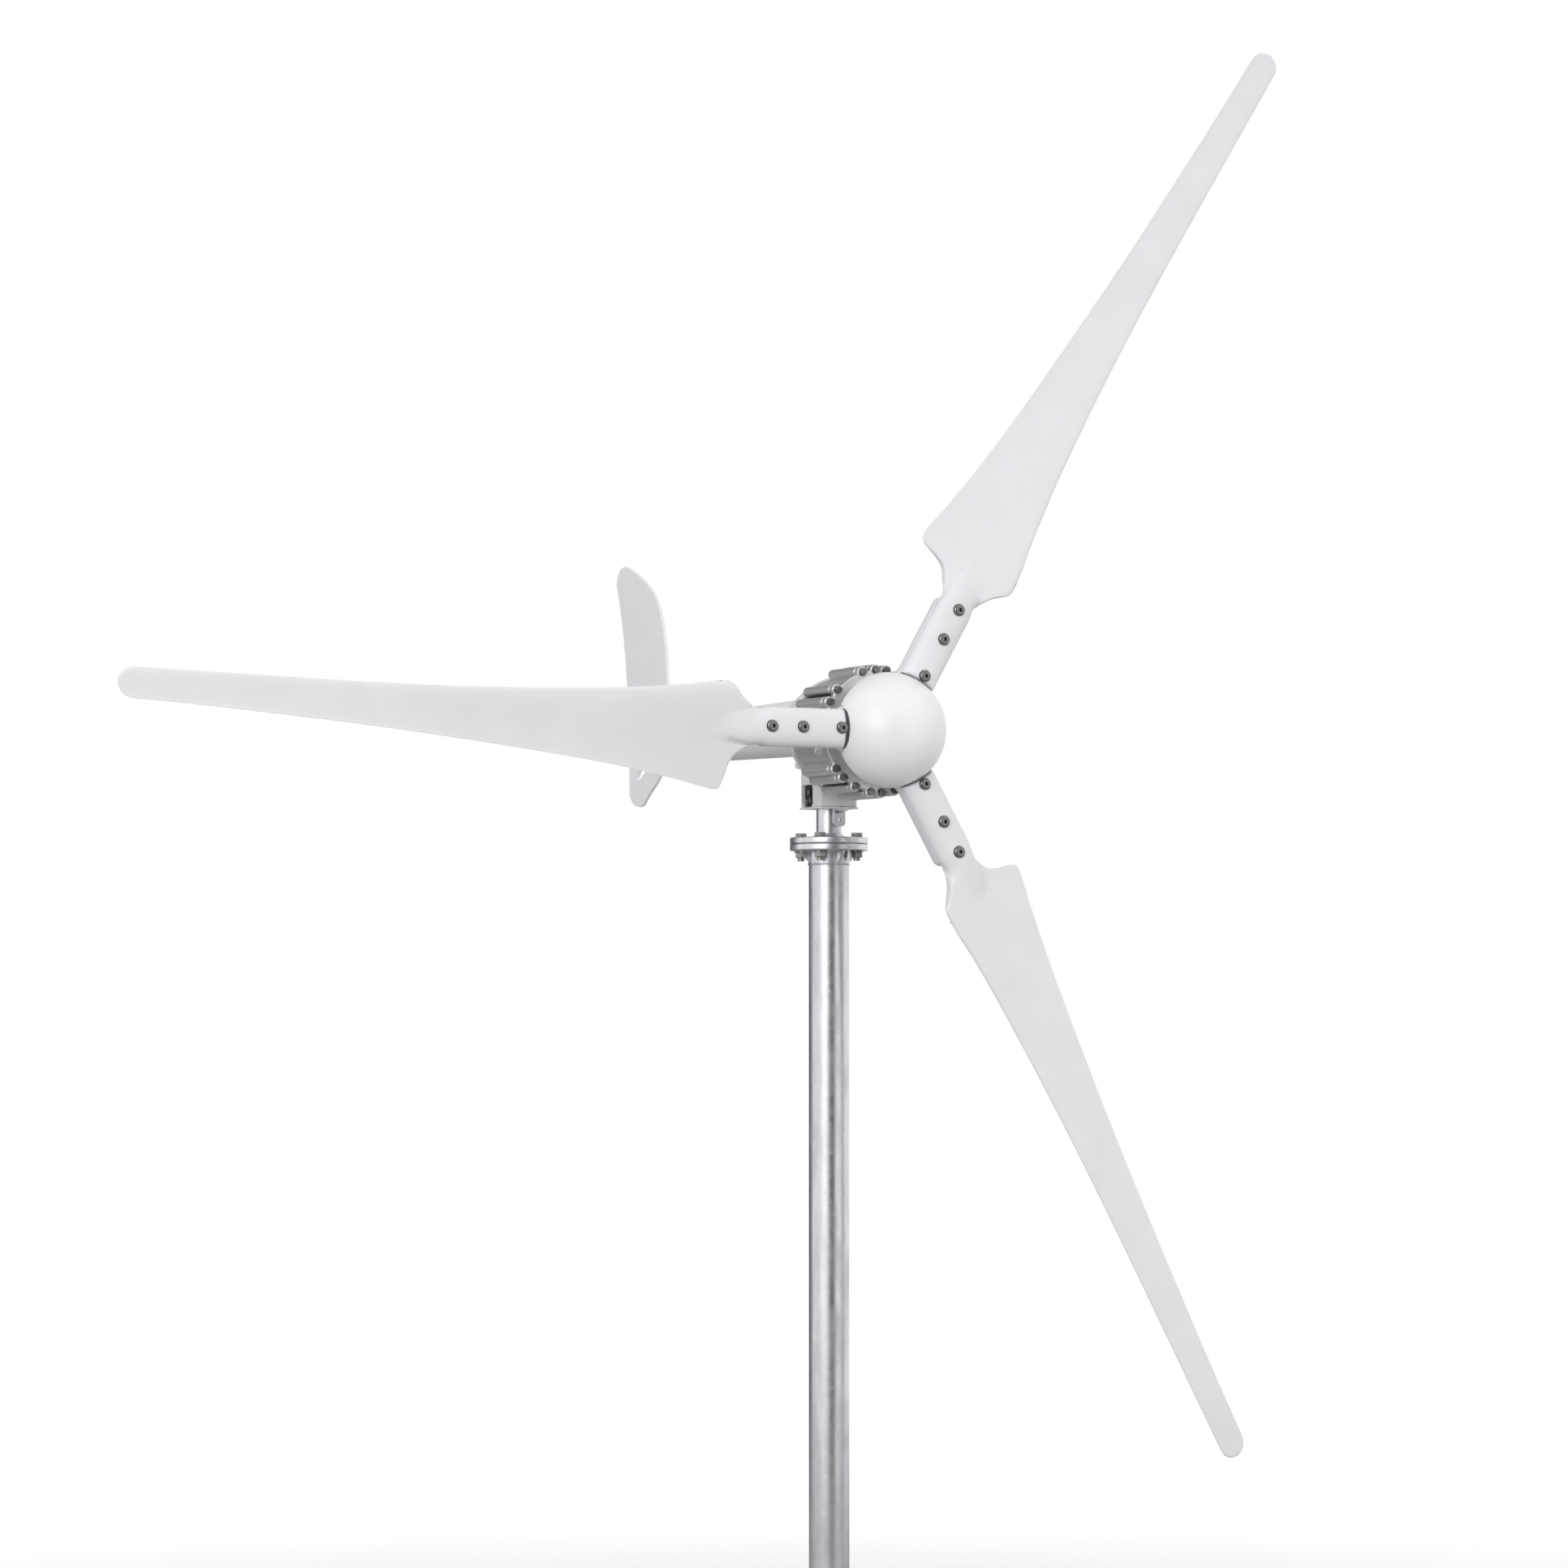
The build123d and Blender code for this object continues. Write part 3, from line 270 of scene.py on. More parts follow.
def zinc(name, tint=1.0):
    """Hot-dip galvanised steel."""
    coat = Finish(name, {"Metallic": 0.92, "Specular IOR Level": 0.5})
    cells = {"Vector": coat.place, "Scale": 105.0, "Randomness": 1.0}
    spangle = coat.node("TexVoronoi", {}, cells, out="Color")
    facet = coat.node("SeparateColor", {}, {0: spangle}, out="Red")
    runs = coat.grain(0.011, 4.0, 0.6, (1.0, 1.0, 0.14))
    patches = coat.grain(0.045, 3.0, 0.6, (1.0, 1.0, 0.55), 3.7)
    dull = coat.ramp(patches, 0.46, 0.68)
    light = tuple(tint * c for c in (0.80, 0.81, 0.825))
    grey = tuple(tint * c for c in (0.64, 0.652, 0.675))
    colour = coat.mix(coat.ramp(runs, 0.36, 0.68), light, grey)
    colour = coat.mix(dull * 0.55, colour, tuple(tint * c for c in (0.56, 0.57, 0.585)))
    colour = coat.mix(facet * 0.20, colour, (0.86, 0.87, 0.89))
    rough = 0.19 + facet * 0.06 + dull * 0.12 + runs * 0.08
    relief = coat.bump(runs, 0.00004, coat.bump(facet, 0.000006))
    return coat.wear(base_color=colour, roughness=rough, normal=relief)


def dress(material, *nodes):
    """Gives one finish to CAD nodes whose shape is already right."""
    for node in nodes:
        mesh = frame["nodes"][node].data
        for index in range(len(mesh.materials)):
            mesh.materials[index] = material


mast_zinc = zinc("mast_zinc")
flange_zinc = zinc("flange_zinc", 1.04)
dress(mast_zinc, "mast_tube")


def soften(node, width, segments=2, angle=35.0):
    """Rounds a CAD part's sharp edges as machining and tumbling leave them."""
    part = frame["nodes"][node]
    join = part.modifiers.new("join_faces", "WELD")
    join.merge_threshold = 0.00001
    edge = part.modifiers.new("round_edges", "BEVEL")
    edge.width, edge.segments = width, segments
    edge.limit_method, edge.angle_limit = "ANGLE", math.radians(angle)
    edge.harden_normals = False
    flat = part.modifiers.new("weigh_normals", "WEIGHTED_NORMAL")
    flat.keep_sharp = False


dress(flange_zinc, "mast_flange", "mast_gussets", "yaw_flange", "yaw_shaft")
soften("mast_flange", 0.0009, 3)
soften("yaw_flange", 0.0009, 3)
soften("mast_gussets", 0.0006, 2)


def bead(name, path, closed, radius, material, body, seed):
    """A weld bead laid along the path as a row of overlapping ripples."""
    source = random.Random(seed)
    mesh = bpy.data.meshes.new(name)
    work = bmesh.new()
    sides, rings = 10, []
    count = len(path)
    for index, point in enumerate(path):
        before = path[index - 1] if index or closed else point
        after = path[(index + 1) % count] if index < count - 1 or closed else point
        along = (Vector(after) - Vector(before)).normalized()
        side = along.cross(Vector((0.0, 0.0, 1.0)))
        side = side.normalized() if side.length > 0.001 else Vector((1.0, 0.0, 0.0))
        up = side.cross(along)
        ripple = 1.0 + 0.16 * math.cos(index * math.tau / 4.0) + source.uniform(-0.05, 0.05)
        if not closed:
            ripple *= min(1.0, 0.35 + 0.4 * min(index, count - 1 - index))
        ring = []
        for turn in range(sides):
            angle = turn * math.tau / sides
            offset = side * math.cos(angle) + up * math.sin(angle)
            ring.append(work.verts.new(Vector(point) + offset * radius * ripple))
        rings.append(ring)
    spans = count if closed else count - 1
    for index in range(spans):
        first, second = rings[index], rings[(index + 1) % count]
        for turn in range(sides):
            nxt = (turn + 1) % sides
            work.faces.new((first[turn], first[nxt], second[nxt], second[turn]))
    if not closed:
        work.faces.new(rings[0])
        work.faces.new(rings[-1])
    bmesh.ops.recalc_face_normals(work, faces=work.faces)
    work.to_mesh(mesh)
    work.free()
    mesh.shade_smooth()
    mesh.materials.append(material)
    piece = bpy.data.objects.new(name, mesh)
    scene.collection.objects.link(piece)
    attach(piece, body)
    return piece


mast_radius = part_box("mast_tube")[1].x
flange_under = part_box("mast_flange")[0].z
weld_zinc = zinc("weld_zinc", 0.86)
steps = 132
bead(
    "mast_weld",
    [
        (
            (mast_radius + 0.0002) * math.cos(math.tau * i / steps),
            (mast_radius + 0.0002) * math.sin(math.tau * i / steps),
            flange_under - 0.0003,
        )
        for i in range(steps)
    ],
    True, 0.0009, weld_zinc, "mast", 4,
)

# --------------------------------------------------------------------------------------------------
# The flange joint: two turned discs drawn together by four M8 bolts, with plain washers and nuts
# underneath. The fasteners are stainless steel, a little darker than the zinc around them.


def bright_steel(name, colour, rough, edge_light=0.5, edge_size=0.0006):
    """Turned or cold-headed steel with fine tool marks, lighter edges that are part edge wear and part
    painted highlight, and painted shade darkening its sockets and gaps.
    """
    coat = Finish(name, {"Metallic": 1.0})
    marks = coat.grain(0.0007, 3.0, 0.6, (1.0, 1.0, 3.5))
    stains = coat.grain(0.006, 3.0, 0.6, offset=1.9)
    rim = coat.edges(edge_size)
    dark = tuple(0.55 * c for c in colour)
    shade = coat.mix(coat.ramp(stains, 0.42, 0.72) * 0.6, colour, dark)
    # Lighter edges: part edge wear, part a painted highlight ring.
    shade = coat.mix(rim * edge_light, shade, tuple(min(1.0, 1.9 * c + 0.06) for c in colour))
    # Painted shade: near black deep in sockets and gaps, where shadow falls.
    shade = coat.mix(coat.shade_in_hollows(0.005) * 0.9, shade, (0.015, 0.014, 0.013))
    roughness = rough + marks * 0.10 + stains * 0.08
    return coat.wear(base_color=shade, roughness=roughness, normal=coat.bump(marks, 0.00002))


stainless = bright_steel("stainless_bolts", (0.37, 0.355, 0.34), 0.22)
dress(stainless, "flange_bolts", "flange_nuts", "flange_washers", "bracket_screw")
dress(flange_zinc, "earth_bracket")
soften("flange_bolts", 0.0005, 2)
soften("flange_nuts", 0.0005, 2)
dress(bright_steel("turned_steel", (0.56, 0.56, 0.55), 0.22), "yaw_nut")

# --------------------------------------------------------------------------------------------------
# Inside the yaw housing: two deep-groove ball bearings on the shaft, and under them the drum of three
# copper slip rings that carries the generator's current past the turning head to the cable in the mast.

bearing_steel = bright_steel("ground_bearing_steel", (0.62, 0.62, 0.61), 0.14, 0.25)
dress(bearing_steel, "yaw_bearing_inner", "yaw_bearing_outer", "main_bearing_inner", "main_bearing_outer")


def moulded_black(name, level, rough, size):
    """Moulded black plastic or rubber, with a matt skin and a little dust."""
    coat = Finish(name, {"Metallic": 0.0, "Specular IOR Level": 0.45})
    skin = coat.grain(size, 3.0)
    dust = coat.ramp(coat.grain(0.009, 4.0, 0.6, offset=5.0), 0.5, 0.8)
    dusty = (level + 0.06, level + 0.058, level + 0.052)
    colour = coat.mix(dust * 0.35, (level, level, level * 1.05), dusty)
    return coat.wear(base_color=colour, roughness=rough + dust * 0.2, normal=coat.bump(skin, 0.00006))


dress(moulded_black("black_moulding", 0.006, 0.42, 0.0009), "slip_ring_drum", "terminal_block", "brushes")
dress(moulded_black("seal_rubber", 0.02, 0.55, 0.0006), "shaft_seal")


def copper_finish(name, stretch):
    """Drawn copper, bright where it is worn and browner where it has aged."""
    coat = Finish(name, {"Metallic": 1.0})
    lines = coat.grain(0.0008, 3.0, 0.6, stretch)
    age = coat.ramp(coat.grain(0.007, 3.0, offset=2.0), 0.4, 0.75)
    colour = coat.mix(age, (0.86, 0.42, 0.25), (0.48, 0.20, 0.11))
    rough = 0.22 + age * 0.2 + lines * 0.08
    return coat.wear(base_color=colour, roughness=rough, normal=coat.bump(lines, 0.00003))


dress(copper_finish("ring_copper", (0.2, 0.2, 4.0)), "slip_rings")
dress(copper_finish("winding_copper", (3.0, 0.3, 3.0)), "stator_windings")
dress(stainless, "terminal_screws")

# --------------------------------------------------------------------------------------------------
# The head casting: yaw housing, web and tail socket in one aluminium casting, powder-coated white.
# Its corners are round and its skin has the faint orange peel of the coating, with traces of grime.


def powder_coat(name, colour, rough=0.36, peel=0.0026, depth=0.00005):
    """White powder coating over cast aluminium."""
    coat = Finish(name, {"Metallic": 0.0, "Specular IOR Level": 0.5})
    skin = coat.grain(peel, 2.0, 0.5)
    sand = coat.grain(0.0007, 2.0, 0.5, offset=2.2)
    cloud = coat.grain(0.05, 3.0, 0.55, offset=4.1)
    grime = coat.ramp(coat.grain(0.013, 5.0, 0.65, offset=7.3), 0.58, 0.80)
    shade = coat.mix(coat.ramp(cloud, 0.3, 0.7), colour, tuple(0.955 * c for c in colour))
    shade = coat.mix(grime * 0.22, shade, tuple(0.72 * c for c in colour))
    relief = coat.bump(skin, depth, coat.bump(sand, 0.2 * depth))
    return coat.wear(base_color=shade, roughness=rough + cloud * 0.08 + grime * 0.15, normal=relief)


def casting(node, name, voxel, passes, material, body):
    """The CAD part with the round corners and fillets of a casting or moulding."""
    source = frame["nodes"][node]
    piece = bpy.data.objects.new(name, source.data.copy())
    scene.collection.objects.link(piece)
    join = piece.modifiers.new("join_faces", "WELD")
    join.merge_threshold = 0.00001
    remesh = piece.modifiers.new("remesh", "REMESH")
    remesh.mode, remesh.voxel_size = "VOXEL", voxel
    smooth = piece.modifiers.new("smooth", "SMOOTH")
    smooth.factor, smooth.iterations = 0.5, passes
    graph = bpy.context.evaluated_depsgraph_get()
    mesh = bpy.data.meshes.new_from_object(piece.evaluated_get(graph))
    piece.modifiers.clear()
    piece.data = mesh
    mesh.name = name
    mesh.shade_smooth()
    mesh.materials.clear()
    mesh.materials.append(material)
    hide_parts(node)
    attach(piece, body)
    return piece


head_white = powder_coat("head_powder_coat", (0.80, 0.805, 0.815))
casting("nacelle_frame", "head_casting", 0.0013, 4, head_white, "nacelle")
dress(head_white, "bottom_plate")

# --------------------------------------------------------------------------------------------------
# The generator: a ribbed die-cast barrel and its front cover, held by sixteen socket screws through
# lugs on the ribs. Inside are the laminated stator with its copper windings and the magnet rotor.


def bare_casting(name, colour):
    """Die-cast aluminium with a silver lacquer, a fine skin, faint swirls from the mould and painted shade
    in its hollows.
    """
    coat = Finish(name, {"Metallic": 0.75, "Specular IOR Level": 0.6})
    skin = coat.grain(0.0009, 3.0, 0.6)
    swirl = coat.grain(0.012, 4.0, 0.6, offset=3.0)
    cloud = coat.ramp(coat.grain(0.02, 3.0, 0.5, offset=6.0), 0.35, 0.7)
    shade = coat.mix(cloud, colour, tuple(0.93 * c for c in colour))
    shade = coat.mix(coat.ramp(swirl, 0.5, 0.75) * 0.3, shade, tuple(0.72 * c for c in colour))
    # Painted shade: near black deep in the hollows between ribs and lugs.
    shade = coat.mix(coat.shade_in_hollows(0.010) * 0.9, shade, tuple(0.06 * c for c in colour))
    relief = coat.bump(skin, 0.000012, coat.bump(swirl, 0.00003))
    return coat.wear(base_color=shade, roughness=0.24 + swirl * 0.12, normal=relief)


barrel_grey = bare_casting("barrel_aluminium", (0.80, 0.805, 0.815))
casting("generator_barrel", "barrel_casting", 0.0012, 5, barrel_grey, "nacelle")
casting("front_cover", "cover_casting", 0.0012, 5, barrel_grey, "nacelle")
dark_screws = bright_steel("dark_screws", (0.24, 0.235, 0.23), 0.22, 0.8, 0.0008)
dress(dark_screws, "cover_screws")
soften("cover_screws", 0.0006, 2)


def sheets(name):
    """Stacked electrical steel sheets, each half a millimetre thick, blued at their cut edges."""
    coat = Finish(name, {"Metallic": 1.0})
    depth = coat.node("SeparateXYZ", {}, {0: coat.place}, out="Y")
    layers = coat.node("Math", {"operation": "FRACT"}, {0: depth / 0.0005})
    gap = coat.ramp(layers, 0.78, 0.95)
    stain = coat.grain(0.008, 3.0)
    colour = coat.mix(stain, (0.34, 0.33, 0.34), (0.22, 0.23, 0.27))
    colour = coat.mix(gap, colour, (0.05, 0.045, 0.04))
    relief = coat.bump(1.0 - gap, 0.00004)
    return coat.wear(base_color=colour, roughness=0.38 + stain * 0.15, normal=relief)


dress(sheets("stator_sheets"), "stator_core", "magnet_rotor")
dress(bright_steel("nickel_magnets", (0.60, 0.58, 0.53), 0.18, 0.3), "magnets")

# --------------------------------------------------------------------------------------------------
# The tail: a slightly tapered tube pressed into the casting's socket, and a flat fin of white plate let
# into a slot in its end and held by two bolts.

tail_white = powder_coat("tail_powder_coat", (0.88, 0.885, 0.90), 0.34, 0.0020)
dress(tail_white, "tail_boom", "tail_fin")
soften("tail_fin", 0.0011, 3)
dress(stainless, "fin_bolts", "fin_nuts")

# --------------------------------------------------------------------------------------------------
# The rotor's middle: the turned shaft with its key, seal sleeve, washer and nut, and the three-armed
# hub, an aluminium casting painted white.

turned = bright_steel("turned_shaft", (0.58, 0.58, 0.57), 0.20)
dress(turned, "main_shaft", "seal_sleeve", "shaft_key")
dress(stainless, "hub_washer", "hub_nut")
hub_white = powder_coat("hub_paint", (0.78, 0.79, 0.805), 0.32)
casting("hub", "hub_casting", 0.0013, 4, hub_white, "rotor")

# --------------------------------------------------------------------------------------------------
# The blades: injection-moulded glass-filled nylon, satin white. Each has a half-round root that is
# bolted to its arm, and flares through two shoulders into a broad, twisted, tapering foil with a
# round tip.

hub_middle = Vector(next(j for j in frame["joints"] if j["name"] == "rotor_spin")["pos_m"])
blade_turns = (180.0, 60.0, -60.0)

# Outline of the blade from root to tip, as (leading r, leading offset, trailing r, trailing offset) in mm.
outline_knots = (
    (66.0, -23.0, 66.0, 23.0),
    (90.0, -23.0, 90.0, 23.0),
    (130.0, -23.0, 130.0, 23.0),
    (160.0, -22.8, 160.0, 22.8),
    (172.0, -20.8, 172.0, 21.2),
    (180.0, -21.8, 182.0, 22.6),
    (188.0, -25.0, 193.0, 26.6),
    (195.0, -28.8, 202.5, 32.0),
    (202.0, -34.2, 208.5, 38.5),
    (208.0, -40.8, 213.0, 48.0),
    (213.0, -46.6, 216.2, 58.0),
    (218.0, -50.3, 219.0, 67.5),
    (226.0, -51.6, 223.6, 73.3),
    (237.0, -51.0, 232.0, 73.6),
    (252.0, -49.4, 246.0, 71.0),
    (289.1, -45.1, 289.1, 61.4),
    (385.1, -39.1, 385.1, 44.9),
    (529.2, -36.3, 529.2, 26.5),
    (673.3, -37.9, 673.3, 11.1),
    (818.3, -42.2, 818.3, -1.5),
    (906.5, -45.0, 906.5, -8.2),
    (950.0, -46.4, 950.0, -11.0),
    (962.5, -46.9, 962.5, -11.9),
)
tip_radius, tip_middle = 17.5, -29.4

# Where the foil's chord lies, as (r, leading offset, leading depth, trailing offset, trailing depth) in mm.
chord_stations = (
    (186.2, -50.0, 1.0, 83.0, 29.5),
    (240.1, -50.5, 1.0, 72.5, 26.8),
    (289.1, -45.1, 2.0, 61.4, 23.3),
    (385.1, -39.1, 5.0, 44.9, 18.4),
    (529.2, -36.3, 5.9, 26.5, 14.2),
    (673.3, -37.9, 5.1, 11.1, 9.6),
    (818.3, -42.2, 3.0, -1.5, 6.0),
    (906.5, -45.0, 1.6, -8.2, 3.6),
    (980.0, -47.5, 0.5, -12.5, 2.2),
)
root_seat = 17.6
root_foot, root_end = 66.0, 174.0
root_edge = 2.2  # height of the root's square edge, and the round on its rear corners
root_half = 23.0
bolt_circles = (73.5, 124.5, 165.3)
hole_radius, spot_radius, spot_depth = 4.25, 7.6, 1.15


def smoothly(rows, at, column=0):
    """The table's row at a place, on a smooth curve through its rows."""
    at = min(max(at, rows[0][column]), rows[-1][column])
    index = max(i for i in range(len(rows) - 1) if rows[i][column] <= at)
    first, second = rows[index], rows[index + 1]
    before, after = rows[max(index - 1, 0)], rows[min(index + 2, len(rows) - 1)]
    span = second[column] - first[column]
    share = (at - first[column]) / span
    result = []
    for a, b, c, d in zip(before, first, second, after):
        enter = (c - a) / max(second[column] - before[column], 1e-6) * span
        leave = (d - b) / max(after[column] - first[column], 1e-6) * span
        s2, s3 = share * share, share**3
        result.append(
            (2 * s3 - 3 * s2 + 1) * b + (s3 - 2 * s2 + share) * enter
            + (3 * s2 - 2 * s3) * c + (s3 - s2) * leave
        )
    return result


def ease(value, low, high):
    """0 below low, 1 above high, with a soft start and end."""
    share = min(max((value - low) / (high - low), 0.0), 1.0)
    return share * share * (3 - 2 * share)


def soft_least(a, b, width):
    """The smaller of two depths, with the corner between them filled by a fillet about width wide."""
    share = min(max(0.5 + 0.5 * (b - a) / width, 0.0), 1.0)
    return b + (a - b) * share - width * share * (1 - share)


# The outline in even steps along its run, closer together where it flares.
knot_rows = [(float(i),) + row for i, row in enumerate(outline_knots)]
outline_rows = []
for index in range(len(outline_knots) - 1):
    length = outline_knots[index + 1][0] - outline_knots[index][0]
    steps = max(3, round(length / 2.0)) if index < 15 else max(4, round(length / 9.0))
    for step in range(steps):
        outline_rows.append(smoothly(knot_rows, index + step / steps)[1:])
for step in range(13):
    turn = math.radians(90.0 * min(step / 12.0, 0.992))
    reach_out = 962.5 + tip_radius * math.sin(turn)
    half = tip_radius * math.cos(turn)
    outline_rows.append([reach_out, tip_middle - half, reach_out, tip_middle + half])

# Edges that the foil's thickness rounds off towards: the two shoulders and the tip.
shoulders = [(row[0], row[1]) for row in outline_rows if 170 < row[0] < 236]
shoulders += [(row[2], row[3]) for row in outline_rows if 170 < row[2] < 232]
tip_edge = [(row[0], row[1]) for row in outline_rows if row[0] > 962]
tip_edge += [(row[2], row[3]) for row in outline_rows if row[2] > 962]


def edge_round(reach_out, offset, radius):
    """0 at a moulded edge, rising in a quarter circle to 1 this radius inside it."""
    edge = shoulders if reach_out < 300 else tip_edge if reach_out > 940 else ()
    if not edge:
        return 1.0
    near = min((reach_out - r) ** 2 + (offset - o) ** 2 for r, o in edge) ** 0.5
    inside = min(near / radius, 1.0)
    return math.sqrt(max(0.0, 1.0 - (1.0 - inside) ** 2))


def foil_depths(reach_out, offset):
    """Front and rear depth of the foil."""
    _, lead, lead_depth, trail, trail_depth = smoothly(chord_stations, reach_out)
    chord = math.hypot(trail - lead, trail_depth - lead_depth)
    share = min(max((offset - lead) / (trail - lead), 0.0), 1.0)
    half = 5 * 0.12 * chord * (
        0.2969 * math.sqrt(share) - 0.126 * share
        - 0.3516 * share**2 + 0.2843 * share**3 - 0.1015 * share**4
    )
    half = max(half, 0.55 * min(1.0, share * 30.0, (1.0 - share) * 30.0 + 0.4))
    half *= edge_round(reach_out, offset, 3.2)
    bow = 4 * 0.035 * share * (1 - share) * chord
    middle = lead_depth + share * (trail_depth - lead_depth) + bow
    return middle - half, middle + half


boss_end = 262.0  # where the root has sunk into the foil
fullness = 2.35  # of the root's round front: 2 is an ellipse, and more is squarer


def root_front(reach_out, offset):
    """Front of the half-round root, which sinks into the foil beyond the shoulders."""
    width = root_half - 2.0 * ease(reach_out, 164, 178) - 9.0 * ease(reach_out, 184, 246)
    crown = 10.5 * ease(reach_out, 168, 238) ** 1.15 + 16.0 * ease(reach_out, 212, boss_end)
    foot_round = 5.0
    short_of = (root_foot + foot_round - reach_out) / foot_round
    if short_of > 0:
        crown += foot_round * (1.0 - math.sqrt(max(0.0, 1.0 - short_of**2)))
    base = root_seat - root_edge
    share = min(abs(offset) / width, 1.0)
    front = base - (base - crown) * (1.0 - share**fullness) ** (1 / fullness)
    return front, share < 1.0 and reach_out < boss_end


def blade_depths(reach_out, offset):
    """Front and rear depth of the whole blade: root, shoulders and foil in one moulding."""
    front, on_root = root_front(reach_out, offset)
    rear = root_seat
    edge = min((abs(offset) - root_half + root_edge) / root_edge, 1.0)
    if edge > 0:
        rear = root_seat - root_edge * (1.0 - math.sqrt(1.0 - edge**2))
    if reach_out <= root_end:
        return front, max(rear, front)
    foil_front, foil_rear = foil_depths(reach_out, offset)
    grown = ease(reach_out, root_end, 196)
    melded = soft_least(front, foil_front, 4.0 + 5.0 * grown) if on_root else foil_front
    if on_root:
        outer = ease(abs(offset), 10.0, 22.0)
        melded = melded * (1 - outer) + min(melded, foil_front) * outer
    start = front if on_root else root_seat - root_edge
    front = start * (1 - grown) + melded * grown
    rear = rear * (1 - grown) + foil_rear * grown
    middle = (front + rear) / 2
    return (front, rear) if rear > front else (middle, middle)


columns = 44
grid = []
for lead_r, lead_o, trail_r, trail_o in outline_rows:
    row = []
    for column in range(columns + 1):
        across_share = 0.5 - 0.5 * math.cos(math.pi * column / columns)
        r = lead_r + (trail_r - lead_r) * across_share
        o = lead_o + (trail_o - lead_o) * across_share
        row.append((r, o, *blade_depths(r, o)))
    grid.append(row)


def blade_mesh(name, turn):
    """The moulding turned to its place round the rotor's axis, with its bolt holes and spot faces cut."""
    out = Vector((math.cos(turn), 0.0, math.sin(turn)))
    aside = Vector((-math.sin(turn), 0.0, math.cos(turn)))
    back = Vector((0.0, 1.0, 0.0))

    def spot_at(r, o, depth):
        return hub_middle + 0.001 * (out * r + aside * o + back * depth)

    work = bmesh.new()
    fronts, rears = [], []
    for row in grid:
        fronts.append([work.verts.new(spot_at(r, o, front)) for r, o, front, rear in row])
        rears.append([work.verts.new(spot_at(r, o, rear)) for r, o, front, rear in row])
    for i in range(len(grid) - 1):
        for c in range(columns):
            work.faces.new((fronts[i][c], fronts[i][c + 1], fronts[i + 1][c + 1], fronts[i + 1][c]))
            work.faces.new((rears[i][c], rears[i + 1][c], rears[i + 1][c + 1], rears[i][c + 1]))
        for c in (0, columns):
            work.faces.new((fronts[i][c], fronts[i + 1][c], rears[i + 1][c], rears[i][c]))
    for end in (0, -1):
        for c in range(columns):
            work.faces.new((fronts[end][c], rears[end][c], rears[end][c + 1], fronts[end][c + 1]))
    bmesh.ops.remove_doubles(work, verts=work.verts, dist=0.00002)
    bmesh.ops.dissolve_degenerate(work, dist=0.00001, edges=work.edges)
    bmesh.ops.recalc_face_normals(work, faces=work.faces)
    mesh = bpy.data.meshes.new(name)
    work.to_mesh(mesh)
    work.free()
    piece = bpy.data.objects.new(name, mesh)
    scene.collection.objects.link(piece)

    cuts = bmesh.new()
    facing = (-back).to_track_quat("Z", "Y").to_matrix().to_4x4()
    for radius in bolt_circles:
        for size, deep, end in ((hole_radius, 30.0, 4.0), (spot_radius, spot_depth, -9.0)):
            middle = spot_at(radius, 0.0, (deep + end) / 2)
            shape = Matrix.Translation(middle) @ facing
            bmesh.ops.create_cone(
                cuts, cap_ends=True, segments=48, radius1=0.001 * size, radius2=0.001 * size,
                depth=0.001 * abs(deep - end), matrix=shape,
            )
    cut_mesh = bpy.data.meshes.new(name + "_cuts")
    cuts.to_mesh(cut_mesh)
    cuts.free()
    cutter = bpy.data.objects.new(name + "_cuts", cut_mesh)
    scene.collection.objects.link(cutter)
    drill = piece.modifiers.new("drill", "BOOLEAN")
    drill.operation, drill.solver, drill.object = "DIFFERENCE", "EXACT", cutter
    drill.use_self = True
    drilled = bpy.data.meshes.new_from_object(piece.evaluated_get(bpy.context.evaluated_depsgraph_get()))
    piece.modifiers.clear()
    bpy.data.objects.remove(cutter)
    piece.data = drilled
    drilled.name = name
    drilled.shade_smooth()
    drilled.set_sharp_from_angle(angle=math.radians(40.0))
    return piece


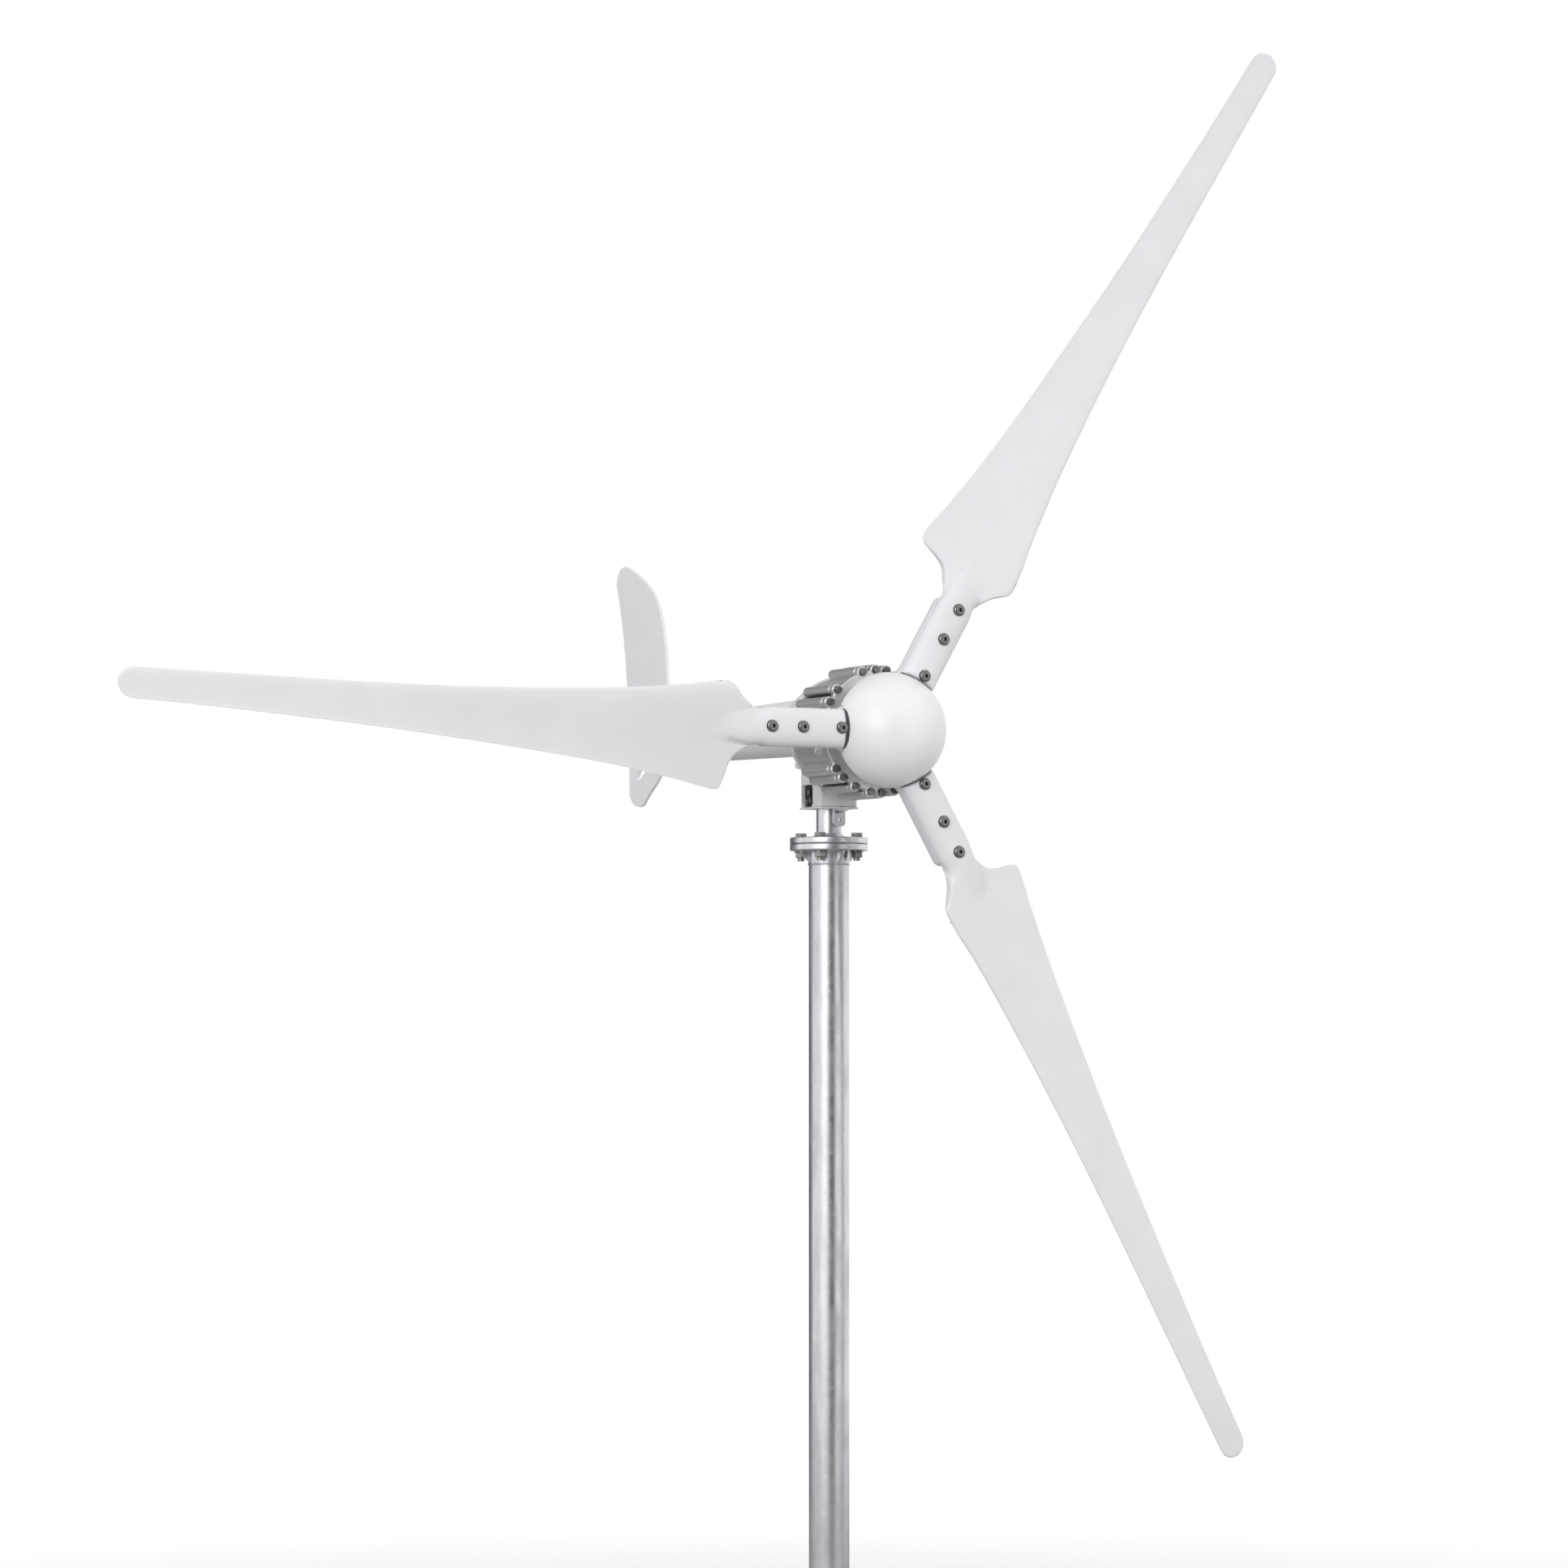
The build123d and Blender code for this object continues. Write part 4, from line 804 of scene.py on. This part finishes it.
def nylon(name, colour):
    """White glass-filled nylon: flow marks, a satin skin and a trace of dirt in specks."""
    coat = Finish(name, {"Metallic": 0.0, "Specular IOR Level": 0.45, "Subsurface Weight": 0.0})
    flow = coat.grain(0.05, 3.0, 0.5)
    fibre = coat.grain(0.0022, 3.0, 0.6)
    skin = coat.grain(0.0006, 2.0)
    specks = coat.ramp(coat.grain(0.0045, 4.0, 0.6, offset=9.0), 0.66, 0.80)
    shade = coat.mix(coat.ramp(flow, 0.3, 0.7), colour, tuple(0.965 * c for c in colour))
    shade = coat.mix(specks * 0.12, shade, tuple(0.75 * c for c in colour))
    relief = coat.bump(fibre, 0.00004, coat.bump(skin, 0.00001))
    return coat.wear(base_color=shade, roughness=0.40 + flow * 0.10, normal=relief)


blade_white = nylon("blade_nylon", (0.80, 0.802, 0.82))
for number, turn in enumerate(blade_turns, 1):
    moulding = blade_mesh(f"blade_{number}_moulding", math.radians(turn))
    moulding.data.materials.clear()
    moulding.data.materials.append(blade_white)
    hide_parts(f"blade_{number}")
    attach(moulding, "rotor")
# The blade bolts' heads get a broad, strong painted highlight on their edges.
black_bolts = bright_steel("blackened_bolts", (0.27, 0.26, 0.25), 0.2, 0.9, 0.0014)
dress(black_bolts, "blade_bolts")
soften("blade_bolts", 0.0012, 3)
dress(stainless, "blade_washers", "blade_nuts")

# --------------------------------------------------------------------------------------------------
# The spinner: a moulded cap with a round nose that hides the hub nut. It is glossier than the blades,
# and is held by three screws from behind.

cap_white = powder_coat("spinner_gloss", (0.88, 0.88, 0.895), 0.30, 0.006, 0.00001)
cap_radius, cap_rim = 0.0684, 0.018
cap_middle = hub_middle + Vector((0.0, 0.023, 0.0))
cap = casting("spinner", "spinner_moulding", 0.0012, 3, cap_white, "rotor")
# Its outside is a true ball as far as the rim, with nothing standing proud of it.
for point in cap.data.vertices:
    arm = point.co - cap_middle
    if arm.y < cap_rim and arm.length > cap_radius - 0.001:
        point.co = cap_middle + arm.normalized() * cap_radius
cap.data.update()
dress(stainless, "spinner_screws")
